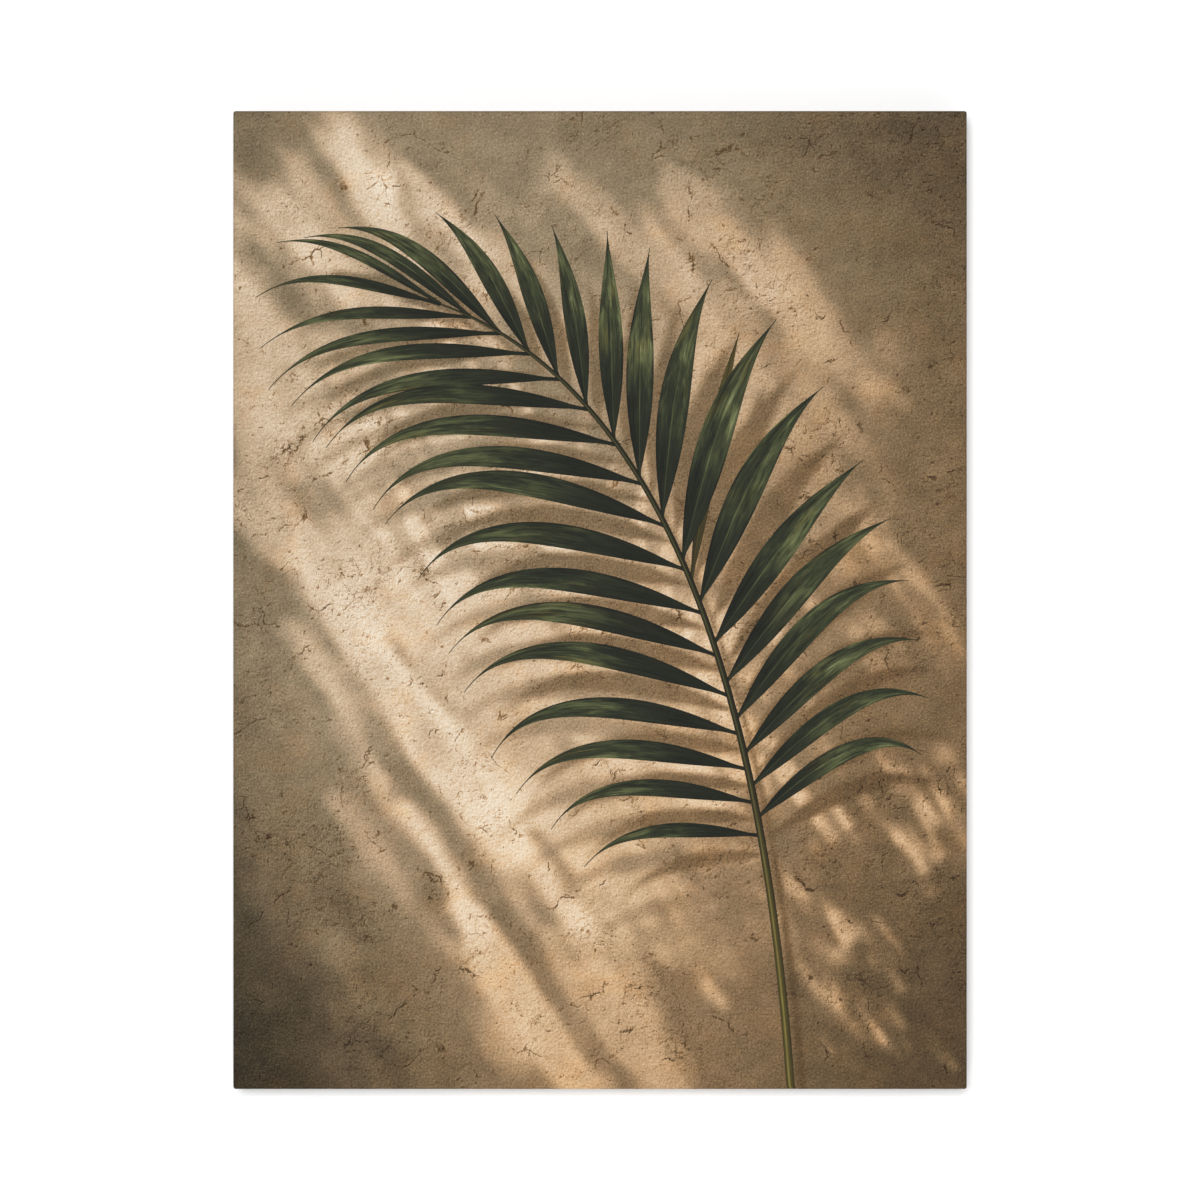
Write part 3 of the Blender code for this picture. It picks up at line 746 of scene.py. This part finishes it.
def canvas_mesh(cloth, blades, light):
    """The whole cloth: printed outside, raw inside, with its hems turned behind the bars."""
    stem = blades[-1]
    outline = Outline(cloth, stem.line[0, 0], stem.half[0])
    start = cloth.edge_radius + RIM
    base, outs = outline.ring(start)
    mesh = Sheet()

    def ring(row, skin=0.0):
        inset, y, far = row
        x, z = outline.ring(inset)[0].T
        points = np.stack((x, np.full(len(x), y), z + MIDDLE_Z), 1)
        return mesh.add_points(points, base + outs * (far + skin))

    profile = turned_profile(cloth, 0.0, start)
    rings = [ring(row) for row in profile]
    for (inset, y, _), near, far in zip(profile[1:], rings, rings[1:]):
        if y == BACK_Y and inset > cloth.print_over:
            mesh.bridge(near, far, Sheet.RAW)
        else:
            mesh.bridge(near, far, Sheet.WALL, outline.stem)
    front_faces(cloth, mesh, rings[0], blades, light)

    # The inner skin takes the rows of the profile that its bends need, from the hem to the front
    skin = turned_profile(cloth, cloth.thickness, start)
    inner = [ring(skin[number], cloth.thickness) for number in (-1, 20, 19, 17, 15, 6, 5, 3, 1, 0)]
    mesh.bridge(rings[-1], inner[0], Sheet.RAW)
    mesh.outside = len(mesh.faces)
    for near, far in zip(inner, inner[1:]):
        mesh.bridge(near, far, Sheet.RAW)
    step = 0.02
    sides = (np.arange(step / 2 - size, size - step / 2, step) for size in (HALF_WIDTH, HALF_HEIGHT))
    points = np.stack(np.meshgrid(*sides, indexing="ij"), 2).reshape(-1, 2)
    _, faces, known, _ = mesh.fill(inner[-1], FRONT_Y + cloth.thickness, points)
    for face in faces:
        mesh.add_face([known[i] for i in reversed(face)], Sheet.RAW)
    return mesh


def cloth_data(name, mesh, light):
    """Mesh data with what the print's materials read, and each face corner's place on the flat cloth."""
    data = bpy.data.meshes.new(name)
    data.from_pydata(mesh.points, [], mesh.faces)
    flat = np.array(mesh.flat)
    corner = np.zeros(len(data.loops), dtype=np.int32)
    data.loops.foreach_get("vertex_index", corner)
    store(data, "Cloth", "FLOAT2", "CORNER", flat[corner])
    for field in ("tone", "sun", "warm"):
        store(data, field, "FLOAT", "POINT", light.read(field, flat))
    data.polygons.foreach_set("material_index", np.array(mesh.slots, dtype=np.int32))
    return data, flat[corner]


def bake_places(flat, outside):
    """A map for baking: the outside laid flat on its side over most of it, the inside in a strip."""
    share, rim = 0.76, 0.002
    part = (flat / np.abs(flat).max(0) / 2 + 0.5)[:, ::-1]
    top = rim + part * (1 - 2 * rim, share - 2 * rim)
    strip = (rim, share) + part * (1 - 2 * rim, 1 - share - rim)
    return np.where(outside[:, None], top, strip)


# ---- Operators -----------------------------------------------------------------------------------


def link(name, data):
    piece = bpy.data.objects.new(name, data)
    bpy.context.scene.collection.objects.link(piece)
    return piece


# Screen colours of the print by tone: plaster in grey light, plaster in warm light, leaflets, stem
PLASTER_STOPS = (
    (0.10, (34, 30, 21)),
    (0.21, (64, 57, 41)),
    (0.30, (88, 78, 59)),
    (0.42, (124, 109, 84)),
    (0.505, (149, 131, 104)),
    (0.66, (196, 170, 138)),
    (0.81, (229, 208, 181)),
    (0.95, (247, 236, 218)),
)
WARM_STOPS = (
    (0.10, (40, 28, 14)),
    (0.30, (100, 77, 50)),
    (0.42, (138, 106, 70)),
    (0.55, (178, 138, 95)),
    (0.70, (222, 178, 128)),
    (0.90, (248, 220, 180)),
)
LEAF_STOPS = (
    (0.0, (21, 23, 18)),
    (0.25, (42, 46, 32)),
    (0.5, (68, 73, 47)),
    (0.75, (102, 107, 70)),
    (1.0, (150, 153, 109)),
)
OLIVE_STOPS = (
    (0.0, (44, 37, 20)),
    (0.35, (82, 72, 36)),
    (0.7, (132, 120, 62)),
    (1.0, (172, 158, 96)),
)


def printed(paint, value, stops):
    """The ink for a tone: screen colours are brought down to what the stage's light lifts again."""
    return paint.ramp(value, [(at, tuple(p * INK for p in linear(*shade))) for at, shade in stops])


def weave(paint, cloth, strength):
    """A plain weave in relief, in the flat cloth's own metres."""
    u, v, _ = paint.parts(paint.uv("Cloth"))
    turn = math.pi / cloth.thread
    over = (u * turn).sine() * (v * turn).sine()
    gaps = (u * turn).cosine().abs() + (v * turn).cosine().abs()
    uneven = paint.noise(paint.uv("Cloth"), 900.0, 2.0)
    return paint.bump(over * 0.35 + gaps * 0.3 + uneven * 0.4, 0.0001, strength)


def plaster(paint, place):
    """The pictured plaster at a place: its height, and how deep it is cracked and pitted there."""
    grain = paint.noise(place, 520.0, 5.0, 0.85)
    lumps = paint.noise(place, 120.0, 5.0, 0.70)
    field = paint.noise(place, 16.0, 3.0, 0.6)
    flakes = paint.noise(place, 42.0, 9.0, 0.66, 0.3)
    step = flakes.rise(0.492, 0.508) + (flakes + field * 0.3).rise(0.752, 0.764) * 0.8
    step = step * (0.12 + field.rise(0.44, 0.58) * 0.88)
    crack = (flakes - 0.5).abs().rise(0.007, 0.0) * field.rise(0.53, 0.60) * 0.8
    jolt = paint.noise(place, 150.0, 6.0, 0.75, output="Color")
    drift = paint.noise(place, 21.0, 3.0, 0.6, output="Color")
    jolted = paint.moved(paint.moved(place, jolt, 0.009), drift, 0.04)
    breaks = paint.noise(paint.shift(place, (2.0, 5.0, 0.0)), 44.0, 4.0, 0.7)
    for scale, width, low, high in ((24.0, 0.013, 0.52, 0.62), (58.0, 0.026, 0.57, 0.66)):
        edge = paint.cells(jolted, scale, "DISTANCE_TO_EDGE")
        crack = crack.most(edge.rise(width, width * 0.2) * (breaks + field * 0.12 - 0.06).rise(low, high))
    holes = paint.noise(paint.shift(place, (9.0, 4.0, 0.0)), 230.0, 4.0, 0.75)
    pit = (holes - field * 0.26).rise(0.275, 0.195)
    depth = crack.most(pit * 0.72)
    return grain * 0.60 + lumps * 0.50 + step * 0.11 - depth * 0.12, depth


def wall_paint(cloth):
    """The print where it shows plaster: tone from the mesh; grain, cracks, pits and stains in nodes."""
    paint = Paint("printed_wall", 0.75)
    place = paint.uv("Cloth")
    tone, sun, warm = (paint.attribute(name) for name in ("tone", "sun", "warm"))
    height, depth = plaster(paint, place)
    toward_sun, _ = plaster(paint, paint.shift(place, (-0.00055, 0.00068, 0.0)))
    relief = height - toward_sun
    relief = relief.most(0.0) * (0.30 + sun * 0.26) + relief.least(0.0) * (0.52 + sun * 0.72)
    mottle = paint.noise(place, 40.0, 6.0, 0.68) - 0.5
    speckle = paint.noise(place, 800.0, 3.0, 0.7) - 0.5
    value = tone + mottle * 0.24 + relief + speckle * 0.48 - depth * (0.20 + sun * 0.27) + 0.022
    grey = printed(paint, value, PLASTER_STOPS)
    ochre = printed(paint, value, WARM_STOPS)
    stain = paint.noise(paint.shift(place, (1.0, 7.0, 0.0)), 28.0, 6.0, 0.70)
    rusty = depth * 1.1 + relief.least(0.0) * -3.0 + stain.rise(0.50, 0.70) * 0.40 * (0.35 + sun * 0.65)
    tint = rusty + warm * 0.70 + (stain - 0.5) * 0.6 - 0.06
    shade = paint.mix(tint.clamped(), grey, ochre)
    return paint.set(Base_Color=shade, Normal=weave(paint, cloth, 0.25))


def leaf_paint(cloth):
    """The print where it shows a leaflet: streaks along it, a pale midrib, light on its bend."""
    paint = Paint("printed_leaflet", 0.72)
    along, across, _ = paint.parts(paint.uv("Blade"))
    seed = paint.attribute("seed")
    right, olive = seed.rise(150.0, 151.0), seed.rise(350.0, 351.0)
    broad = paint.noise(paint.vector(along * 3.4 + seed * 3.1, across * 0.8, seed * 1.7), 1.5, 3.0, 0.6)
    streaks = paint.noise(paint.vector(along * 4.5 + seed * 5.3, across * 3.2, seed * 2.3), 1.5, 4.0, 0.68)
    hairs = paint.noise(paint.vector(along * 9.0 + seed * 9.1, across * 16.0, seed), 1.5, 3.0, 0.7)
    lit = along.rise(0.18, 0.62) * along.rise(1.02, 0.80)
    patches = broad.rise(0.42, 0.66)
    tone = 0.065 + lit * 0.21 + lit * patches * 0.30 + patches * 0.05
    tone = tone + (streaks - 0.5) * (0.40 + lit * 0.50) + (hairs - 0.5) * (0.44 + lit * 0.60)
    tone = tone + across * 0.07 * (1 - right) * lit + across.rise(0.12, -0.10) * 0.10 * right
    rib = across.abs().rise(0.085, 0.0) * along.rise(0.78, 0.30) * along.rise(0.0, 0.05)
    tone = tone + rib * (0.03 + right * 0.30)
    fold = (across.abs() - 0.52).abs().rise(0.07, 0.0)
    tone = tone - fold * 0.05 - across.abs().rise(0.78, 1.0) * 0.12
    tone = tone + across.rise(0.80, 0.96) * lit * patches * 0.22
    shade = printed(paint, tone.clamped(), LEAF_STOPS)
    spot = paint.noise(paint.vector(along * 2.6 + seed, across * 0.6, seed * 4.1), 1.4, 2.0)
    tint = (olive * 0.8).most(spot.rise(0.54, 0.74) * 0.45 * lit)
    shade = paint.mix(tint.clamped(), shade, printed(paint, tone.clamped(), OLIVE_STOPS))
    return paint.set(Base_Color=shade, Normal=weave(paint, cloth, 0.25))


def stem_paint(cloth):
    """The print where it shows the stem: round in the light, greener above and yellower below."""
    paint = Paint("printed_stem", 0.72)
    along, across, _ = paint.parts(paint.uv("Blade"))
    streaks = paint.noise(paint.vector(along * 22.0, across * 2.4, 0.5), 1.6, 4.0, 0.66) - 0.5
    ridge = (across - 0.22).abs().rise(0.42, 0.05)
    tone = 0.30 + ridge * 0.34 - across.rise(-0.25, -0.95) * 0.24 - across.rise(0.65, 1.0) * 0.14
    tone = tone + streaks * 0.4 - along.rise(0.06, 0.45) * 0.20
    lower = printed(paint, tone.clamped(), OLIVE_STOPS)
    upper = printed(paint, tone.clamped() * 0.92, LEAF_STOPS)
    shade = paint.mix(along.rise(0.16, 0.42) * 0.72, lower, upper)
    return paint.set(Base_Color=shade, Normal=weave(paint, cloth, 0.25))


def raw_paint(cloth):
    """Unprinted cotton canvas: cream, with slubs along its threads."""
    paint = Paint("raw_cloth", 0.88)
    place = paint.uv("Cloth")
    slub = paint.noise(paint.shift(place, scale=(1.0, 0.06, 1.0)), 900.0, 3.0)
    slub = slub + paint.noise(paint.shift(place, scale=(0.06, 1.0, 1.0)), 900.0, 3.0)
    cloud = paint.noise(place, 14.0, 3.0)
    base = tuple(cloth.raw)
    darker = tuple(part * 0.8 for part in base)
    shade = paint.mix((slub * 0.7 + cloud * 0.5 - 0.55).clamped(), darker, base)
    return paint.set(Base_Color=shade, Normal=weave(paint, cloth, 0.6))


# How one corner's folded cloth lies: it wraps over the top or bottom side and on behind the bars
FOLD_ROWS = 26
FOLD_COLUMNS = 14


def fold_path(cloth, b):
    """(how far in from the print's end, y, outward part, backward part) at b along the wrap."""
    radius = cloth.edge_radius
    straight, arc = DEPTH - 2 * radius, radius * math.pi / 2
    if b < straight:
        return 0.0, FRONT_Y + radius + b, 1.0, 0.0
    if b < straight + arc:
        out, back = heading((b - straight) / radius)
        return radius - radius * out, BACK_Y - radius + radius * back, out, back
    return radius + b - straight - arc, BACK_Y, 0.0, 1.0


def folded_corner(cloth, right, up, mesh):
    """Adds one corner's triangle of folded cloth, as rings of its upper and its under side."""
    radius = cloth.edge_radius
    whole = DEPTH - 2 * radius + radius * math.pi / 2 + cloth.hem - radius
    rings = []
    for row in range(FOLD_ROWS):
        # From 1.5 mm past the front's edge to 0.2 mm short of the hem's end
        b = 0.0015 + (whole - 0.0017) * row / (FOLD_ROWS - 1)
        inset, y, out, back = fold_path(cloth, b)
        near = max(0.0009, inset + 0.0003)
        points = []
        for column in range(FOLD_COLUMNS):
            share = 0.5 - 0.5 * math.cos(math.pi * column / (FOLD_COLUMNS - 1))
            a = near + (b - near) * share if b > near else near + 1e-5 * column
            fold = min((b - a) / 0.0007, 1.0)
            rise = math.sqrt(max(1 - (1 - fold) ** 2, 0.0)) * float(smooth(a - near, -0.0005, 0.004))
            rise *= float(smooth(b, 0.0005, 0.009)) * (1 + 0.25 * math.sin(a * 260 + b * 90))
            points.append((a, rise * cloth.thickness * 1.35))
        points += [(a, -0.0002) for a, _ in reversed(points)]
        ring = [
            (right * (HALF_WIDTH - a), y + back * lift, MIDDLE_Z + up * (HALF_HEIGHT - inset + out * lift))
            for a, lift in points
        ]
        flat = [(right * (HALF_WIDTH + a), up * (HALF_HEIGHT + radius + b)) for a, _ in points]
        rings.append((mesh.add_points(ring, flat), inset > cloth.print_over))
    for (near, _), (far, raw) in zip(rings, rings[1:]):
        mesh.bridge(near, far, int(raw))
    mesh.add_face(rings[0][0][::-1], 0)
    mesh.add_face(rings[-1][0], 1)


class PRINT_OT_canvas(bpy.types.Operator):
    """Makes the printed canvas, stretched over the bars and turned behind them, and its folded corners"""

    bl_idname = "print.canvas"
    bl_label = "Printed Canvas"

    def execute(self, context):
        cloth, look = context.scene.print_cloth, context.scene.print_frond
        blades = make_frond(cloth, look)
        light = WallLight(blades, look.seed)
        mesh = canvas_mesh(cloth, blades, light)
        data, flat = cloth_data("printed_canvas", mesh, light)
        store(data, "Blade", "FLOAT2", "CORNER", mesh.blade_uv)
        outside = np.arange(len(data.loops)) < data.polygons[mesh.outside].loop_start
        store(data, "OFBake", "FLOAT2", "CORNER", bake_places(flat, outside))
        store(data, "seed", "FLOAT", "FACE", mesh.seeds)
        paints = [paint(cloth) for paint in (wall_paint, leaf_paint, stem_paint, raw_paint)]
        for paint in paints:
            data.materials.append(paint)
        data.shade_smooth()
        piece = link("printed_canvas", data)
        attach(piece, "root")
        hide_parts("canvas")
        self.make_folds(cloth, light, (paints[0], paints[3]))
        return {"FINISHED"}

    def make_folds(self, cloth, light, paints):
        mesh = Sheet()
        for right, up in ((-1, -1), (1, -1), (1, 1), (-1, 1)):
            folded_corner(cloth, right, up, mesh)
        data, _ = cloth_data("folded_corners", mesh, light)
        for paint in paints:
            data.materials.append(paint)
        shape = bmesh.new()
        shape.from_mesh(data)
        bmesh.ops.recalc_face_normals(shape, faces=shape.faces)
        shape.to_mesh(data)
        shape.free()
        data.shade_smooth()
        piece = link("folded_corners", data)
        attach(piece, "root")


def rounded(name, nodes, radius, paint, shortest=0.0):
    """A piece in place of its frame nodes: their own shapes with the edges rounded."""
    shape = bmesh.new()
    for node in nodes:
        shape.from_mesh(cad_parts[node].data)
    bmesh.ops.remove_doubles(shape, verts=shape.verts, dist=1e-6)
    bmesh.ops.dissolve_limit(shape, angle_limit=math.radians(1), verts=shape.verts, edges=shape.edges)
    crease = math.radians(32)
    edges = [e for e in shape.edges if e.calc_face_angle(0.0) > crease and e.calc_length() > shortest]
    bmesh.ops.bevel(
        shape, geom=edges, offset=radius, segments=2, profile=0.5, affect="EDGES", clamp_overlap=not shortest
    )
    bmesh.ops.triangulate(shape, faces=[face for face in shape.faces if len(face.verts) > 4])
    data = bpy.data.meshes.new(name)
    shape.to_mesh(data)
    shape.free()
    data.materials.clear()
    data.materials.append(paint)
    data.shade_smooth()
    data.set_sharp_from_angle(angle=math.radians(40))
    piece = link(name, data)
    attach(piece, "root")
    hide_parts(*nodes)


def wood(name, node, sideways, shades, ring_width, heart=(0.016, 0.052)):
    """Planed wood that runs along a node: growth rings round a heart beside it, fibres, knots."""
    paint = Paint(name, 0.62, gloss=0.3)
    low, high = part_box(node)
    middle = (low + high) / 2
    turn = (0.0, math.pi / 2, 0.0) if sideways else (0.0, 0.0, 0.0)
    side = middle.z if sideways else middle.x
    offset = (-side - heart[0], -middle.y - heart[1], 0.37 * len(name) + middle.x)
    x, y, z = paint.parts(paint.shift(paint.place(), offset, turn=turn))
    drift = paint.noise(paint.vector(x, y, z * 0.16), 22.0, 3.0) - 0.5
    radius = (x * x + y * y) ** 0.5
    ring = (radius / ring_width + drift * 2.6).fraction()
    late = ring.rise(0.30, 0.92) * ring.rise(1.0, 0.95)
    fibre = paint.noise(paint.vector(x, y, z * 0.020), 1500.0, 3.0, 0.7)
    streak = paint.noise(paint.vector(x, y, z * 0.05), 240.0, 4.0, 0.6)
    resin = paint.noise(paint.vector(x, y, z * 0.09), 620.0, 2.0, 0.5).rise(0.66, 0.74)
    knot = paint.cells(paint.vector(x, y * 0.25, z * 0.42), 19.0)
    tone = 0.22 + late * 0.34 + (fibre - 0.5) * 0.42 + (streak - 0.5) * 0.50 + resin * 0.16
    tone = tone + knot.rise(0.30, 0.10) * 0.14 + knot.rise(0.13, 0.07) * 0.42
    stops = [(at, linear(*shade)) for at, shade in zip((0.0, 0.33, 0.62, 1.0), shades)]
    shade = paint.ramp(tone.clamped(), stops)
    relief = fibre * 0.5 + late * 0.25 + streak * 0.3
    rough = 0.54 + fibre * 0.18 - late * 0.06
    return paint.set(Base_Color=shade, Roughness=rough, Normal=paint.bump(relief, 0.00025, 0.5))


PINE = ((241, 219, 181), (228, 197, 150), (203, 160, 110), (138, 92, 54))
BEECH = ((222, 190, 150), (205, 165, 122), (182, 138, 96), (132, 92, 62))


class PRINT_OT_bars(bpy.types.Operator):
    """Makes the four stretcher bars in planed pine, their long edges eased"""

    bl_idname = "print.bars"
    bl_label = "Stretcher Bars"

    def execute(self, context):
        for side in SIDES:
            node = f"bar_{side}"
            paint = wood(f"pine_{side}", node, side in ("top", "bottom"), PINE, 0.0031)
            rounded(f"stretcher_{side}", [node], 0.0005, paint, shortest=0.012)
        return {"FINISHED"}


class PRINT_OT_keys(bpy.types.Operator):
    """Makes the eight corner keys in beech"""

    bl_idname = "print.keys"
    bl_label = "Corner Keys"

    def execute(self, context):
        for side in SIDES:
            nodes = [f"key_{side}_{number}" for number in (1, 2)]
            across = side in ("top", "bottom")
            paint = wood(f"beech_{side}", nodes[0], across, BEECH, 0.0014, (0.012, 0.030))
            rounded(f"keys_{side}", nodes, 0.0003, paint)
        return {"FINISHED"}


def steel(name, shade, roughness, grain):
    """Plated steel: fine drawn lines, cloudy dulling and small dark specks."""
    paint = Paint(name, roughness, 1.0)
    place = paint.place()
    lines = paint.noise(paint.shift(place, scale=grain), 3000.0, 2.0)
    cloud = paint.noise(place, 260.0, 4.0, 0.65)
    spots = paint.noise(paint.shift(place, (3.0, 0.0, 0.0)), 900.0, 3.0).rise(0.62, 0.72)
    dull = tuple(part * 0.62 for part in shade)
    tint = (cloud - 0.35 + spots * 0.8 + (lines - 0.5) * 0.4).clamped()
    rough = roughness - 0.10 + cloud * 0.26 + spots * 0.25
    relief = paint.bump(lines * 0.5 + cloud, 0.00004, 0.5)
    return paint.set(Base_Color=paint.mix(tint, shade, dull), Roughness=rough, Normal=relief)


def staple_plan():
    """A wire bent twice into a staple, its edges broken, then one at each place and turn."""
    plan = Plan("staple", ("Crown", "Leg", "Wire width", "Wire thickness"))
    crown, leg, width, thick = (plan.given[name] for name in ("Crown", "Leg", "Wire width", "Wire thickness"))
    index = plan.node("GeometryNodeInputIndex")
    x = (index.above(1.5) - 0.5) * (crown - thick)
    down = (index - 1.5).abs().above(1.0) * (leg - thick * 0.5)
    line = plan.node("GeometryNodeMeshLine", {}, {"Count": 4})
    inputs = {"Geometry": line, "Position": plan.vector(x, thick * -0.5 - down, 0.0)}
    wire = plan.node("GeometryNodeMeshToCurve", {}, (plan.node("GeometryNodeSetPosition", {}, inputs),))
    inputs = {"Width": thick, "Height": width}
    section = plan.node("GeometryNodeCurvePrimitiveQuadrilateral", {"mode": "RECTANGLE"}, inputs)

    def fillet(curve, count, radius):
        inputs = {"Curve": curve, "Count": count, "Radius": radius, "Limit Radius": True}
        return plan.node("GeometryNodeFilletCurve", {"mode": "POLY"}, inputs)

    inputs = {
        "Curve": fillet(wire, 3, thick * 1.1),
        "Profile Curve": fillet(section, 1, thick * 0.22),
        "Fill Caps": True,
    }
    staple = plan.node("GeometryNodeCurveToMesh", {}, inputs)
    turn = plan.node("GeometryNodeInputNamedAttribute", {"data_type": "FLOAT"}, {"Name": "turn"})
    inputs = {"Points": plan.given["Geometry"], "Instance": staple, "Rotation": plan.vector(0.0, turn, 0.0)}
    plan.finish(plan.node("GeometryNodeInstanceOnPoints", {}, inputs))
    return plan


class PRINT_OT_staples(bpy.types.Operator):
    """Makes the staples that hold the hems, each where the frame has it"""

    bl_idname = "print.staples"
    bl_label = "Staples"

    def execute(self, context):
        look = context.scene.print_hardware
        nodes = sorted(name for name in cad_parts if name.startswith("staple_"))
        places, turns = [], []
        for node in nodes:
            low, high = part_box(node)
            corners = np.array([vertex.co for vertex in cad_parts[node].data.vertices])
            flat = corners[:, (0, 2)] - corners[:, (0, 2)].mean(0)
            run = np.linalg.eigh(flat.T @ flat)[1][:, 1]
            places.append(((low.x + high.x) / 2, high.y, (low.z + high.z) / 2))
            turns.append(-math.atan2(run[1], run[0]))
        data = bpy.data.meshes.new("staple_places")
        data.from_pydata(places, [], [])
        store(data, "turn", "FLOAT", "POINT", turns)
        low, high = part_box(nodes[0])
        values = {
            "Crown": look.staple_crown,
            "Leg": high.y - low.y,
            "Wire width": look.wire_width,
            "Wire thickness": look.wire_thickness,
            "Material": steel("staple_steel", (0.66, 0.65, 0.63), 0.34, (1.0, 0.1, 1.0)),
        }
        piece = staple_plan().grow("staples", data, values)
        piece.data.shade_smooth()
        piece.data.set_sharp_from_angle(angle=math.radians(50))
        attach(piece, "root")
        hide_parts(*nodes)
        return {"FINISHED"}


class PRINT_OT_hanger(bpy.types.Operator):
    """Makes the sawtooth hanger and the two nails that hold it"""

    bl_idname = "print.hanger"
    bl_label = "Hanger"

    def execute(self, context):
        zinc = steel("hanger_steel", (0.74, 0.70, 0.60), 0.36, (0.1, 1.0, 1.0))
        rounded("sawtooth_hanger", ["hanger"], 0.00016, zinc)
        nails = ["hanger_nail_left", "hanger_nail_right"]
        rounded("hanger_nails", nails, 0.00012, zinc)
        return {"FINISHED"}


class PRINT_OT_pads(bpy.types.Operator):
    """Makes the four rubber pads that stand against the wall"""

    bl_idname = "print.pads"
    bl_label = "Wall Pads"

    def execute(self, context):
        paint = Paint("pad_rubber", 0.72, gloss=0.35)
        place = paint.place()
        cloud = paint.noise(place, 300.0, 4.0, 0.6)
        dust = paint.noise(place, 1400.0, 4.0, 0.75)
        tint = (dust.rise(0.50, 0.75) * 0.45 + cloud * 0.25).clamped()
        shade = paint.mix(tint, (0.022, 0.022, 0.023), (0.16, 0.15, 0.14))
        relief = paint.bump(dust + cloud, 0.0001, 0.5)
        rubber = paint.set(Base_Color=shade, Roughness=0.58 + cloud * 0.25, Normal=relief)
        nodes = [f"wall_pad_{end}_{side}" for end in ("top", "bottom") for side in ("left", "right")]
        rounded("wall_pads", nodes, 0.00045, rubber)
        return {"FINISHED"}


def stage_piece(name, corners, faces, shade):
    """A flat stage surface that shows from its front only."""
    data = bpy.data.meshes.new(name)
    data.from_pydata(corners, [], faces)
    paint = Paint(name, 0.9)
    paint.set(Base_Color=shade)
    shader = Wire(paint, paint.shader.outputs[0])
    behind = paint.node("ShaderNodeNewGeometry", output="Backfacing")
    clear = paint.node("ShaderNodeBsdfTransparent")
    both = paint.node("ShaderNodeMixShader", {}, (behind, shader, clear))
    paint.plug(paint.tree.nodes["Material Output"].inputs["Surface"], both)
    data.materials.append(paint.material)
    link(name, data)


class PRINT_OT_stage(bpy.types.Operator):
    """Makes the wall, the floor, the lights and the camera"""

    bl_idname = "print.stage"
    bl_label = "Stage"

    def execute(self, context):
        look = context.scene.print_stage
        self.make_wall()
        world = bpy.data.worlds.new("studio")
        world.use_nodes = True
        sky = world.node_tree.nodes["Background"]
        sky.inputs["Color"].default_value = (1, 1, 1, 1)
        sky.inputs["Strength"].default_value = look.sky
        context.scene.world = world
        self.add_area("key", (-0.16, -3.0, 0.30), 0.80, look.key)
        self.add_area("behind", (0.9, 2.4, 0.9), 1.6, look.key * 0.55)
        self.make_camera(look)
        return {"FINISHED"}

    def make_wall(self):
        """A white wall, open just behind the print, and a pale floor below it."""
        wide, high, low, near = 1.6, MIDDLE_Z + 1.2, MIDDLE_Z - 1.0, -2.6
        x, top, bottom = HALF_WIDTH - 0.001, PRINT_HIGH.z - 0.001, PRINT_LOW.z + 0.001
        outer = [(-wide, 0, low), (wide, 0, low), (wide, 0, high), (-wide, 0, high)]
        inner = [(-x, 0, bottom), (x, 0, bottom), (x, 0, top), (-x, 0, top)]
        faces = [(i, (i + 1) % 4, (i + 1) % 4 + 4, i + 4) for i in range(4)]
        stage_piece("wall", outer + inner, faces, (0.93, 0.93, 0.93))
        floor = [(-wide, near, low), (wide, near, low), (wide, 0, low), (-wide, 0, low)]
        stage_piece("floor", floor, [(0, 1, 2, 3)], (0.86, 0.86, 0.85))

    def add_area(self, name, offset, size, power):
        """A square lamp, aimed at the print's middle."""
        data = bpy.data.lights.new(name, "AREA")
        data.size = size
        data.energy = power
        lamp = link(name, data)
        target = Vector((0, FRONT_Y, MIDDLE_Z))
        lamp.location = target + Vector(offset)
        lamp.rotation_euler = (target - lamp.location).to_track_quat("-Z", "Y").to_euler()

    def make_camera(self, look):
        data = bpy.data.cameras.new("camera")
        data.lens = look.lens
        data.sensor_width = 36.0
        camera = link("camera", data)
        away = look.view_width * data.lens / data.sensor_width
        camera.location = (0, FRONT_Y - away, MIDDLE_Z)
        camera.rotation_euler = (math.pi / 2, 0, 0)
        bpy.context.scene.camera = camera
        bpy.context.scene.view_settings.view_transform = "Standard"


class PRINT_PT_panel(bpy.types.Panel):
    """Lists the steps that make the print"""

    bl_idname = "PRINT_PT_panel"
    bl_label = "Canvas Print"
    bl_space_type = "VIEW_3D"
    bl_region_type = "UI"
    bl_category = "Canvas Print"

    def draw(self, context):
        for operator in OPERATORS:
            self.layout.operator(operator.bl_idname)


SETTINGS = {
    "print_cloth": ClothSettings,
    "print_frond": FrondSettings,
    "print_hardware": HardwareSettings,
    "print_stage": StageSettings,
}
OPERATORS = (
    PRINT_OT_canvas,
    PRINT_OT_bars,
    PRINT_OT_keys,
    PRINT_OT_staples,
    PRINT_OT_hanger,
    PRINT_OT_pads,
    PRINT_OT_stage,
)


def register():
    for kind in (*SETTINGS.values(), *OPERATORS, PRINT_PT_panel):
        bpy.utils.register_class(kind)
    for name, kind in SETTINGS.items():
        setattr(bpy.types.Scene, name, PointerProperty(type=kind))


def unregister():
    for name in SETTINGS:
        delattr(bpy.types.Scene, name)
    for kind in reversed((*SETTINGS.values(), *OPERATORS, PRINT_PT_panel)):
        bpy.utils.unregister_class(kind)


def main():
    register()
    for operator in OPERATORS:
        group, name = operator.bl_idname.split(".")
        getattr(getattr(bpy.ops, group), name)()


if __name__ == "__main__":
    main()
